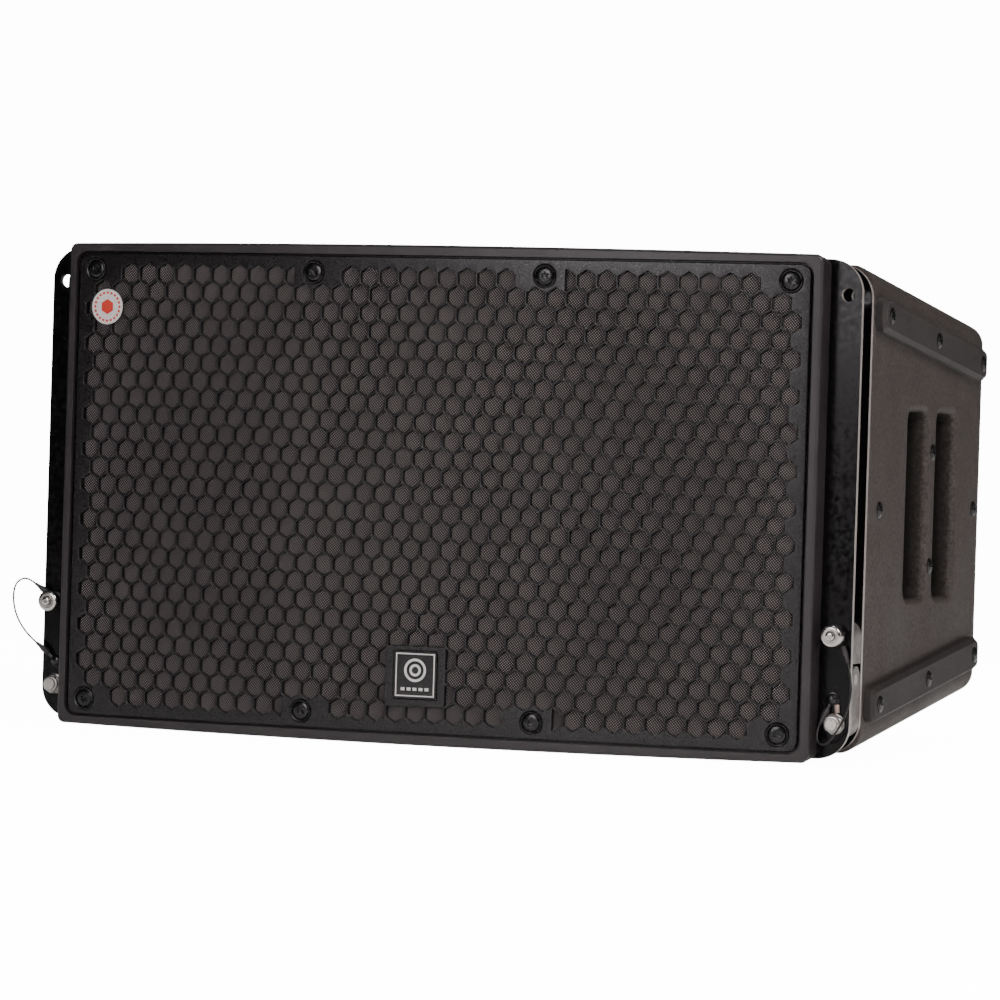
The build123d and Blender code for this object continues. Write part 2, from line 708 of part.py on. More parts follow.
with BuildPart() as amplifier_screws:
    with BuildSketch(xz(AMP_FACE)):
        with Locations(*AMP_SCREWS):
            Circle(3.9)
    extrude(amount=-2.2)
    with BuildSketch(xz(AMP_FACE)):
        with Locations(*AMP_SCREWS):
            Circle(2.0)
    extrude(amount=16)
    with BuildSketch(xz(AMP_FACE + 2.2)):
        with Locations(*AMP_SCREWS):
            RegularPolygon(1.6, 6)
    extrude(amount=1.4, mode=Mode.SUBTRACT)
save(amplifier_screws, "amplifier_screws")

BOARD_Y = 300.0
with BuildPart() as amplifier_board:
    with BuildSketch(xz(BOARD_Y)):
        with Locations((0, 14)):
            Rectangle(320, 116)
    extrude(amount=-1.6)
    with BuildSketch(xz(BOARD_Y + 1.6)):
        with Locations((0, 14)):
            with GridLocations(300, 96, 2, 2):
                Circle(3)
    extrude(amount=-(PANEL_Y - BOARD_Y - 1.6))
    with BuildSketch(xz(BOARD_Y + 1.6)):
        with Locations((-60, 30), (0, 30), (60, 30)):
            Rectangle(36, 24)
    extrude(amount=-9)
save(amplifier_board, "amplifier_board")

with BuildPart() as power_supply:
    with BuildSketch(xz(BOARD_Y)):
        with Locations((-100, 14)):
            Circle(46)
            Circle(12, mode=Mode.SUBTRACT)
    extrude(amount=44)
    fillet(power_supply.edges().filter_by(GeomType.CIRCLE), 5)
    with BuildSketch(xz(BOARD_Y)):
        with Locations((-20, 40), (-20, -12), (22, 40), (22, -12)):
            Circle(16)
    extrude(amount=42)
save(power_supply, "power_supply")

BRACKET_HOLE_Y = REAR_Y - 9.0
with BuildPart() as rear_rigging_brackets:
    for sign in (-1, 1):
        with BuildSketch(xz(PANEL_Y)):
            with Locations((0, sign * BRACKET_Z)):
                RectangleRounded(84, 24, 3)
                with Locations((-32, 0), (32, 0)):
                    Circle(2.05, mode=Mode.SUBTRACT)
        extrude(amount=-4)
        for x in (-15.0, 15.0):
            with BuildSketch(Plane.YZ.offset(x - 3)):
                with BuildLine():
                    low = Line((PANEL_Y + 3, sign * BRACKET_Z - 11), (BRACKET_HOLE_Y, sign * BRACKET_Z - 9))
                    nose = ThreePointArc(
                        low @ 1, (BRACKET_HOLE_Y + 9, sign * BRACKET_Z), (BRACKET_HOLE_Y, sign * BRACKET_Z + 9)
                    )
                    high = Line(nose @ 1, (PANEL_Y + 3, sign * BRACKET_Z + 11))
                    Line(high @ 1, low @ 0)
                make_face()
                with Locations((BRACKET_HOLE_Y, sign * BRACKET_Z)):
                    Circle(PIN_R + RUN, mode=Mode.SUBTRACT)
            extrude(amount=6)
save(rear_rigging_brackets, "rear_rigging_brackets")

# ---- side handles, skids and screws ----
CUP_WALL = 3.0
CUP_DEPTH = 48.0
GRIP_Y = (GRIP_SLOTS[0][0] + GRIP_SLOTS[1][1]) / 2
with BuildPart() as handle_cups:
    for side in (-1, 1):
        with BuildSketch(side_plane(side, SIDE_IN)):
            with Locations((GRIP_Y, HANDLE_Z)):
                RectangleRounded(164, 168, 14)
        extrude(amount=-side * 4)
        with BuildSketch(side_plane(side, SIDE_IN)):
            with Locations((GRIP_Y, HANDLE_Z)):
                RectangleRounded(144, 148, 16)
        extrude(amount=-side * CUP_DEPTH)
        with BuildSketch(side_plane(side, SIDE_IN - 4)):
            with Locations((GRIP_Y, HANDLE_Z)):
                RectangleRounded(144 - 2 * CUP_WALL, 148 - 2 * CUP_WALL, 13)
        extrude(amount=-side * (CUP_DEPTH - 4 - CUP_WALL), mode=Mode.SUBTRACT)
        with BuildSketch(side_plane(side, SIDE_IN)):
            for y0, y1 in GRIP_SLOTS:
                with Locations(((y0 + y1) / 2, HANDLE_Z)):
                    RectangleRounded(y1 - y0, 2 * GRIP_HALF_H, GRIP_CORNER)
            with Locations(*BAR_SCREWS):
                Circle(SCREW_R + 0.05)
        extrude(amount=-side * 4, mode=Mode.SUBTRACT)
save(handle_cups, "handle_cups")

with BuildPart() as skids:
    for side in (-1, 1):
        for s in (-1, 1):
            y0, y1 = SKID_Y
            z0 = s * (half_height(y0) - SKID_DROP)
            z1 = s * (half_height(y1) - SKID_DROP)
            with BuildSketch(side_plane(side, HALF_W)):
                with BuildLine():
                    Polyline(
                        (y0, z0 - SKID_H / 2), (y1, z1 - SKID_H / 2), (y1, z1 + SKID_H / 2),
                        (y0, z0 + SKID_H / 2), close=True,
                    )
                make_face()
                fillet(vertices(), 8)
                with Locations(*[(y, s * (half_height(y) - SKID_DROP)) for y in SKID_SCREW_Y]):
                    Circle(SCREW_R + 0.05, mode=Mode.SUBTRACT)
            extrude(amount=side * SKID_PROUD)
    outer = skids.faces().filter_by(Axis.X).filter_by(lambda f: abs(f.center().X) > HALF_W + 1)
    rims = [face.outer_wire().edges() for face in outer]
    chamfer([edge for rim in rims for edge in rim], 3.0)
save(skids, "skids")

with BuildPart() as side_screws:
    for side in (-1, 1):
        for seat, spots in ((HALF_W, BAR_SCREWS + SIDE_SCREWS), (HALF_W + SKID_PROUD, skid_screw_spots())):
            with BuildSketch(side_plane(side, seat)):
                with Locations(*spots):
                    Circle(6.0)
            extrude(amount=side * 2.0)
            with BuildSketch(side_plane(side, seat)):
                with Locations(*spots):
                    Circle(SCREW_R)
            extrude(amount=-side * (seat - SIDE_IN + 3))
            with BuildSketch(side_plane(side, seat + 2.0)):
                with Locations(*spots):
                    Rectangle(6.4, 1.3)
                    Rectangle(1.3, 6.4)
            extrude(amount=-side * 1.5, mode=Mode.SUBTRACT)
    chamfer(side_screws.faces().filter_by(Axis.X).group_by(Axis.X)[-1].edges().filter_by(GeomType.CIRCLE), 0.6)
save(side_screws, "side_screws")

# ---- rigging plates, bolts and links ----
ANCHOR = (301.5, -133.0)
ANCHOR_R = 2.0
CSK_R = 5.6


def rigging_plate(side, y, inner, bolt_x, bolt_spots):
    """One rounded rigging plate with its pin holes, pivot hole and countersunk bolt holes."""
    with BuildPart() as plate:
        top = half_height(y) - 0.3
        with BuildSketch(xz(y)):
            with Locations((side * (inner + HALF_W) / 2, 0)):
                Rectangle(HALF_W - inner, 2 * top)
            fillet(vertices().filter_by(lambda v: abs(v.X) > HALF_W - 1), PLATE_R)
            with Locations((side * HOLE_X, TOP_HOLE_Z), (side * HOLE_X, PIN_Z)):
                Circle(PIN_R + RUN, mode=Mode.SUBTRACT)
            with Locations((side * HOLE_X, PIVOT_Z)):
                Circle(BOLT_R + RUN, mode=Mode.SUBTRACT)
        extrude(amount=-PLATE_T)
        for z in bolt_spots:
            with BuildSketch(xz(y)):
                with Locations((side * bolt_x, z)):
                    Circle(CSK_R)
            with BuildSketch(xz(y + PLATE_T)):
                with Locations((side * bolt_x, z)):
                    Circle(RIG_BOLT_R)
            loft(mode=Mode.SUBTRACT)
    return plate.part


for side in (-1, 1):
    with BuildPart() as front_plate:
        add(rigging_plate(side, PLATE_Y, PLATE_IN, FRONT_BOLT_X, FRONT_BOLTS))
        with BuildSketch(xz(PLATE_Y)):
            with Locations((side * ANCHOR[0], ANCHOR[1])):
                Circle(ANCHOR_R + 0.05)
        extrude(amount=-PLATE_T, mode=Mode.SUBTRACT)
    save(front_plate, f"rigging_plate_front_{side_name(side)}")

with BuildPart() as back_plates:
    for side in (-1, 1):
        add(rigging_plate(side, BACK_Y, NECK_W + 0.2, BACK_BOLT_X, BACK_BOLTS))
save(back_plates, "rigging_plates_back")

with BuildPart() as rigging_bolts:
    rows = ((PLATE_Y, FRONT_BOLT_X, FRONT_BOLTS), (BACK_Y, BACK_BOLT_X, BACK_BOLTS))
    for side in (-1, 1):
        for y, x, spots in rows:
            for z in spots:
                with BuildSketch(xz(y)):
                    with Locations((side * x, z)):
                        Circle(CSK_R - 0.05)
                with BuildSketch(xz(y + PLATE_T)):
                    with Locations((side * x, z)):
                        Circle(RIG_BOLT_R - 0.05)
                loft()
                with BuildSketch(xz(y + PLATE_T)):
                    with Locations((side * x, z)):
                        Circle(RIG_BOLT_R - 0.05)
                extrude(amount=-12)
save(rigging_bolts, "rigging_bolts")

LINK_T = 20.0
LINK_R = 10.2
LINK_Y = PLATE_Y + PLATE_T + (SLOT - LINK_T) / 2
KNUCKLE_Z = PIVOT_Z + LINK_PITCH / 2
KNUCKLE_R = 9.6
KNUCKLE_GAP = 1.6
EAR_T = 5.0
HOOK_PLAY = 0.3         # the hook's mouth is this much wider than its hole, each side
SLOT_MID_Y = LINK_Y + LINK_T / 2
NUT_H = 8.0
TIP_Y = PLATE_Y - NUT_H - 1.6


def link_bar(side, z0, z1, round_at):
    """A link's bar between two heights, with one end rounded on its hole."""
    with BuildPart() as bar:
        with BuildSketch(xz(LINK_Y)):
            with Locations((side * HOLE_X, (z0 + z1) / 2)):
                Rectangle(2 * LINK_R, z1 - z0)
            with Locations((side * HOLE_X, round_at)):
                Circle(LINK_R)
        extrude(amount=-LINK_T)
    return bar.part


for side in (-1, 1):
    knuckle = side_plane(side, HOLE_X)
    name = side_name(side)
    with BuildPart() as arm:
        add(link_bar(side, PIVOT_Z, KNUCKLE_Z, PIVOT_Z))
        with BuildSketch(knuckle):
            with Locations((SLOT_MID_Y, KNUCKLE_Z)):
                Circle(KNUCKLE_R)
        extrude(amount=LINK_R, both=True)
        with BuildSketch(Plane.YZ.offset(side * HOLE_X)):
            with Locations((SLOT_MID_Y, KNUCKLE_Z + 20)):
                Rectangle(LINK_T, 40)
            with Locations((SLOT_MID_Y, KNUCKLE_Z)):
                Circle(KNUCKLE_R, mode=Mode.SUBTRACT)
        extrude(amount=LINK_R, both=True, mode=Mode.SUBTRACT)
        with Locations((side * HOLE_X, SLOT_MID_Y, KNUCKLE_Z + 15 - KNUCKLE_R - KNUCKLE_GAP)):
            Box(2 * (LINK_R - EAR_T), LINK_T + 2, 30, mode=Mode.SUBTRACT)
        with BuildSketch(knuckle):
            with Locations((SLOT_MID_Y, KNUCKLE_Z)):
                Circle(BOLT_R + RUN)
        extrude(amount=LINK_R, both=True, mode=Mode.SUBTRACT)
        with BuildSketch(xz(LINK_Y)):
            with Locations((side * HOLE_X, PIVOT_Z)):
                Circle(BOLT_R + RUN)
        extrude(amount=-LINK_T, mode=Mode.SUBTRACT)
    save(arm, f"link_arm_{name}")

    with BuildPart() as eye:
        add(link_bar(side, KNUCKLE_Z + KNUCKLE_R + KNUCKLE_GAP, PIN_Z, PIN_Z))
        with BuildSketch(knuckle):
            with Locations((SLOT_MID_Y, KNUCKLE_Z)):
                Circle(KNUCKLE_R)
            with Locations((SLOT_MID_Y, KNUCKLE_Z + 8)):
                Rectangle(2 * KNUCKLE_R, 16)
        extrude(amount=LINK_R - EAR_T - 0.3, both=True)
        with BuildSketch(knuckle):
            with Locations((SLOT_MID_Y, KNUCKLE_Z)):
                Circle(BOLT_R + RUN)
        extrude(amount=LINK_R, both=True, mode=Mode.SUBTRACT)
        with BuildSketch(xz(LINK_Y)):
            with Locations((side * HOLE_X, PIN_Z)):
                Circle(PIN_R + RUN)
        extrude(amount=-LINK_T, mode=Mode.SUBTRACT)
        with BuildSketch(xz(LINK_Y)):
            with Locations((side * HOLE_X, PIVOT_Z)):
                Circle(LINK_PITCH + PIN_R + HOOK_PLAY)
                Circle(LINK_PITCH - PIN_R - HOOK_PLAY, mode=Mode.SUBTRACT)
            with Locations((side * (HOLE_X - LINK_R), PIN_Z)):
                Rectangle(2 * LINK_R, 40, mode=Mode.INTERSECT)
        extrude(amount=-LINK_T, mode=Mode.SUBTRACT)
    save(eye, f"link_hook_{name}")

    with BuildPart() as knuckle_pin:
        with BuildSketch(knuckle):
            with Locations((SLOT_MID_Y, KNUCKLE_Z)):
                Circle(BOLT_R)
        extrude(amount=LINK_R, both=True)
    save(knuckle_pin, f"knuckle_pin_{name}")

with BuildPart() as pivot_bolts:
    for side in (-1, 1):
        with BuildSketch(xz(TIP_Y)):
            with Locations((side * HOLE_X, PIVOT_Z)):
                Circle(BOLT_R)
        extrude(amount=-(BODY_Y + 1 - TIP_Y))
        with BuildSketch(xz(BODY_Y)):
            with Locations((side * HOLE_X, PIVOT_Z)):
                RegularPolygon(7.5, 6)
        extrude(amount=-5.3)
save(pivot_bolts, "pivot_bolts")

with BuildPart() as pivot_nuts:
    for side in (-1, 1):
        with BuildSketch(xz(PLATE_Y)):
            with Locations((side * HOLE_X, PIVOT_Z)):
                RegularPolygon(7.5, 6)
        extrude(amount=NUT_H - 2)
        with BuildSketch(xz(PLATE_Y)):
            with Locations((side * HOLE_X, PIVOT_Z)):
                Circle(6.2)
        extrude(amount=NUT_H)
        with BuildSketch(xz(PLATE_Y)):
            with Locations((side * HOLE_X, PIVOT_Z)):
                Circle(BOLT_R + 0.02)
        extrude(amount=NUT_H, mode=Mode.SUBTRACT)
save(pivot_nuts, "pivot_nuts")

# ---- locking pins, their buttons and lanyards ----
KNOB_R = 7.75
KNOB_FRONT_Y = 3.5
KNOB_BACK_Y = 15.0
NECK_R = 5.6
BUTTON_R = 3.2
BUTTON_OUT = 2.5
COLLAR_Y = 18.2
WIRE_R = 0.75
LUG_R = 2.0
LUG_GAP = 0.6

# Lanyard routes from the pin's lug to the anchor's barrel, by side.
ROUTES = {
    1: [
        (308.2, 17.6, -96.0), (313.4, 13.5, -105.0), (317.3, 10.0, -117.5), (318.2, 8.0, -131.0),
        (314.6, 8.0, -144.5), (308.2, 8.0, -156.0), (301.0, 8.0, -164.8), (294.2, 9.0, -163.5),
        (293.4, 11.5, -155.0), (295.7, 15.5, -146.8), (298.4, 18.8, -140.2),
    ],
    -1: [
        (-308.6, 17.6, -83.6), (-316.0, 14.0, -77.2), (-324.6, 10.0, -71.2), (-332.0, 8.0, -76.2),
        (-333.6, 8.0, -88.0), (-330.4, 8.0, -100.5), (-323.6, 9.0, -111.5), (-315.2, 13.0, -120.5),
        (-307.4, 18.8, -128.0),
    ],
}


def lug(start, end, radius):
    """A round lug from start to just short of the end, where the wire's slanted end begins."""
    way = Vector(end) - Vector(start)
    with BuildPart() as bar:
        with BuildSketch(Plane(origin=start, z_dir=way)):
            Circle(radius)
        extrude(amount=way.length - LUG_GAP)
    return bar.part


def corner_radii(points):
    """Each corner's largest tangent arc: 0.45 of its shorter run over tan(half the turn)."""
    radii = []
    for before, here, after in zip(points, points[1:], points[2:]):
        run_in = Vector(here) - Vector(before)
        run_out = Vector(after) - Vector(here)
        turn = radians(run_in.get_angle(run_out))
        radii.append(0.45 * min(run_in.length, run_out.length) / tan(turn / 2))
    return radii


for side in (-1, 1):
    name = side_name(side)
    route = ROUTES[side]
    pin_axis = (side * HOLE_X, COLLAR_Y - 0.6, PIN_Z)
    with BuildPart() as locking_pin:
        with BuildSketch(xz(KNOB_FRONT_Y)):
            with Locations((side * HOLE_X, PIN_Z)):
                Circle(KNOB_R)
        extrude(amount=-(KNOB_BACK_Y - KNOB_FRONT_Y))
        fillet(locking_pin.edges().filter_by(GeomType.CIRCLE), 1.2)
        with BuildSketch(xz(KNOB_BACK_Y)):
            with Locations((side * HOLE_X, PIN_Z)):
                Circle(NECK_R)
        extrude(amount=-(PLATE_Y - 0.1 - KNOB_BACK_Y))
        with BuildSketch(xz(PLATE_Y - 1)):
            with Locations((side * HOLE_X, PIN_Z)):
                Circle(PIN_R)
        extrude(amount=-(BODY_Y + 6 - PLATE_Y + 1))
        chamfer(locking_pin.edges().group_by(Axis.Y)[-1], 1.2)
        with BuildSketch(xz(KNOB_FRONT_Y)):
            with Locations((side * HOLE_X, PIN_Z)):
                Circle(BUTTON_R + RUN)
        extrude(amount=-11, mode=Mode.SUBTRACT)
        add(lug(pin_axis, route[0], LUG_R))
    save(locking_pin, f"locking_pin_{name}")

    with BuildPart() as button:
        with BuildSketch(xz(KNOB_FRONT_Y - BUTTON_OUT)):
            with Locations((side * HOLE_X, PIN_Z)):
                Circle(BUTTON_R)
        extrude(amount=-(BUTTON_OUT + 8))
        chamfer(button.edges().group_by(Axis.Y)[0], 0.5)
    save(button, f"pin_button_{name}")

    radii = corner_radii(route)
    with BuildPart() as wire:
        with BuildLine():
            path = FilletPolyline(*route, radius=radii)
        with BuildSketch(Plane(origin=path @ 0, z_dir=path % 0)):
            Circle(WIRE_R)
        sweep()
    save(wire, f"lanyard_wire_{name}")
    print(name, "lanyard", round(path.length, 1), "mm, radii", [round(r, 1) for r in radii])
    print("  volume over section times length", round(wire.part.volume / (path.length * 3.14159 * WIRE_R**2), 4))

RING_R = 5.0
with BuildPart() as lanyard_anchors:
    for side in (-1, 1):
        centre = (side * ANCHOR[0], PLATE_Y - 2.2, ANCHOR[1])
        with BuildSketch(xz(PLATE_Y)):
            with Locations((side * ANCHOR[0], ANCHOR[1])):
                Circle(RING_R)
        extrude(amount=1.2)
        add(lug(centre, ROUTES[side][-1], LUG_R))
        with BuildSketch(xz(PLATE_Y)):
            with Locations((side * ANCHOR[0], ANCHOR[1])):
                Circle(4.0)
        extrude(amount=4.4)
        with BuildSketch(xz(PLATE_Y)):
            with Locations((side * ANCHOR[0], ANCHOR[1])):
                Circle(ANCHOR_R)
        extrude(amount=-PLATE_T)
        with BuildSketch(xz(PLATE_Y - 4.4)):
            with Locations((side * ANCHOR[0], ANCHOR[1])):
                Rectangle(8, 1.2)
        extrude(amount=-1.6, mode=Mode.SUBTRACT)
save(lanyard_anchors, "lanyard_anchors")
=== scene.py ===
"""Looks of the line array speaker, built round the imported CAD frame. Sizes are in millimetres in the
design's own frame, and place() turns them into metres in the row frame."""
from math import asin, cos, hypot, pi, radians, sin, sqrt

import bmesh
import bpy
from mathutils import Matrix, Vector
from mathutils.geometry import delaunay_2d_cdt


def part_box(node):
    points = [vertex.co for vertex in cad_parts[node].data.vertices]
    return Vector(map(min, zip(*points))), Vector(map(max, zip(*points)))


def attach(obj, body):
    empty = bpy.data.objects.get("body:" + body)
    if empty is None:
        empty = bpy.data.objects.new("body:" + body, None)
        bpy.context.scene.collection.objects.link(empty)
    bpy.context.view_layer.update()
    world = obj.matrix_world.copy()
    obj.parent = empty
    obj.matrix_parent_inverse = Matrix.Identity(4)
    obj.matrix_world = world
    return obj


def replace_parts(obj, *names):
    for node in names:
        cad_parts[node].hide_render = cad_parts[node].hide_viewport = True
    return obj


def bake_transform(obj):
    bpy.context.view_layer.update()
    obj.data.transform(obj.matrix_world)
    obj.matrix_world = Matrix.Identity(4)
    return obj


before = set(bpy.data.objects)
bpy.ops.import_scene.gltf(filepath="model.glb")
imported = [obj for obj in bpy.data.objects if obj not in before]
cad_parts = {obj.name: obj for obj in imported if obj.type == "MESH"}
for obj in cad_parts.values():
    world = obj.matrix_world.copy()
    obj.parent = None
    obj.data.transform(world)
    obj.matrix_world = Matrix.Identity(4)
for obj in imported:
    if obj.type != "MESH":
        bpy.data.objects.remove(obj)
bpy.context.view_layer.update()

# ---- places and sizes, millimetres in the design frame ----
FRAME_LOW, FRAME_HIGH = (Vector(corner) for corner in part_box("bezel_frame"))
FRAME_BACK_Y = 25.5
ORIGIN = Vector((0.0, FRAME_HIGH.y - FRAME_BACK_Y / 1000, (FRAME_LOW.z + FRAME_HIGH.z) / 2))
FRAME_HALF_W = FRAME_HIGH.x * 1000
BULGE = 15.4
FRONT_R = (FRAME_HALF_W**2 + BULGE**2) / (2 * BULGE)
GRILLE_OFFSET = 1.0
GRILLE_T = 4.0
GRILLE_HALF_W = 282.7
GRILLE_HALF_H = 170.5
HOLE_X = 303.3
PIVOT_Z = -150.4
PIN_Z = -88.4
PLATE_Y = 21.0
HALF_W = 313.7
TAPER = 0.1051042
HALF_H = 178.0
SIDES = {"right": 1, "left": -1}
# Direction and start angle of each corner of a rounded rectangle, counter-clockwise.
CORNERS = ((1, 1, 0), (-1, 1, pi / 2), (-1, -1, pi), (1, -1, 3 * pi / 2))


def place(x, y, z):
    """A design point in metres in the row frame."""
    return Vector((x, y, z)) / 1000 + ORIGIN


# ---- camera, lights and stage ----
CAMERA_AIM = (55.53, 0, -1.44)
BACKDROP = 14.0
FLOOR_REACH, FLOOR_NEAR = 14.0, -1.9
FLOOR_Z = -0.0005


def add_camera():
    """The camera, turned by yaw, pitch and roll about a point on the front."""
    yaw, pitch, roll, distance = radians(20.66), radians(0.727), radians(1.759), 3.3155
    back = Vector((sin(yaw) * cos(pitch), -cos(yaw) * cos(pitch), sin(pitch)))
    right = Vector((cos(yaw), sin(yaw), 0))
    up = back.cross(right)
    turned_right = right * cos(roll) + up * sin(roll)
    turned_up = up * cos(roll) - right * sin(roll)
    data = bpy.data.cameras.new("camera")
    data.lens = 166.9
    data.sensor_width = 36
    data.clip_end = 100
    camera = bpy.data.objects.new("camera", data)
    spot = place(*CAMERA_AIM) + back * distance
    turn = Matrix((turned_right, turned_up, back)).transposed().to_4x4()
    camera.matrix_world = Matrix.Translation(spot) @ turn
    bpy.context.collection.objects.link(camera)
    bpy.context.scene.camera = camera


def add_area(name, spot, aim, size, power, colour=(1, 1, 1)):
    data = bpy.data.lights.new(name, "AREA")
    data.shape = "RECTANGLE"
    data.size, data.size_y = size
    data.energy = power
    data.color = colour
    light = bpy.data.objects.new(name, data)
    light.location = spot
    light.rotation_euler = (Vector(aim) - Vector(spot)).to_track_quat("-Z", "Y").to_euler()
    bpy.context.collection.objects.link(light)


def add_lights():
    """A key light from the upper right, soft ones from the front and above, and a faint one on the side."""
    add_area("key", (2.3, -2.2, 2.3), (0, 0, 0.2), (0.9, 0.9), 80, (1.0, 0.95, 0.93))
    add_area("side", (2.9, 0.3, 0.9), (0.3, 0.1, 0.18), (1.0, 1.0), 5, (1.0, 0.95, 0.92))
    add_area("front", (-0.55, -3.3, 0.95), (0, 0, 0.6), (1.0, 1.2), 24, (1.0, 0.95, 0.98))
    add_area("top", (0.2, 0.2, 2.8), (0, 0.1, 0), (1.6, 1.0), 22)


def add_surround():
    """A dim surround that lights the object, brighter behind it, and a white backdrop for the camera."""
    world = bpy.data.worlds.new("surround")
    world.use_nodes = True
    nodes, links = world.node_tree.nodes, world.node_tree.links
    nodes.clear()
    output = nodes.new("ShaderNodeOutputWorld")
    coordinates = nodes.new("ShaderNodeTexCoord")
    split = nodes.new("ShaderNodeSeparateXYZ")
    ramp = nodes.new("ShaderNodeValToRGB")
    ramp.color_ramp.elements[0].position = 0.35
    ramp.color_ramp.elements[0].color = (0.004, 0.004, 0.004, 1)
    ramp.color_ramp.elements[1].position = 0.72
    ramp.color_ramp.elements[1].color = (0.05, 0.048, 0.046, 1)
    remap = nodes.new("ShaderNodeMapRange")
    remap.inputs["From Min"].default_value = -1
    studio = nodes.new("ShaderNodeBackground")
    backdrop = nodes.new("ShaderNodeBackground")
    backdrop.inputs["Color"].default_value = (1, 1, 1, 1)
    backdrop.inputs["Strength"].default_value = BACKDROP
    rays = nodes.new("ShaderNodeLightPath")
    mix = nodes.new("ShaderNodeMixShader")
    links.new(coordinates.outputs["Generated"], split.inputs[0])
    links.new(split.outputs["Y"], remap.inputs["Value"])
    links.new(remap.outputs[0], ramp.inputs[0])
    links.new(ramp.outputs[0], studio.inputs["Color"])
    links.new(rays.outputs["Is Camera Ray"], mix.inputs[0])
    links.new(studio.outputs[0], mix.inputs[1])
    links.new(backdrop.outputs[0], mix.inputs[2])
    links.new(mix.outputs[0], output.inputs[0])
    bpy.context.scene.world = world


def add_floor():
    """A pale floor just below the object, bright enough to run into the backdrop."""
    mesh = bpy.data.meshes.new("floor")
    outline = (
        (-FLOOR_REACH, FLOOR_NEAR), (FLOOR_REACH, FLOOR_NEAR),
        (FLOOR_REACH, FLOOR_REACH), (-FLOOR_REACH, FLOOR_REACH),
    )
    mesh.from_pydata([(x, y, FLOOR_Z) for x, y in outline], [], [(0, 1, 2, 3)])
    floor = bpy.data.objects.new("floor", mesh)
    bpy.context.collection.objects.link(floor)
    look = bpy.data.materials.new("pale_floor")
    look.use_nodes = True
    shader = look.node_tree.nodes["Principled BSDF"]
    shader.inputs["Base Color"].default_value = (0.9, 0.9, 0.9, 1)
    shader.inputs["Roughness"].default_value = 0.9
    shader.inputs["Emission Color"].default_value = (1, 1, 1, 1)
    shader.inputs["Emission Strength"].default_value = BACKDROP
    mesh.materials.append(look)
    # The floor's white glow is for the picture alone, so it lights nothing but itself.
    own = bpy.data.collections.new("floor_light")
    own.objects.link(floor)
    floor.light_linking.receiver_collection = own


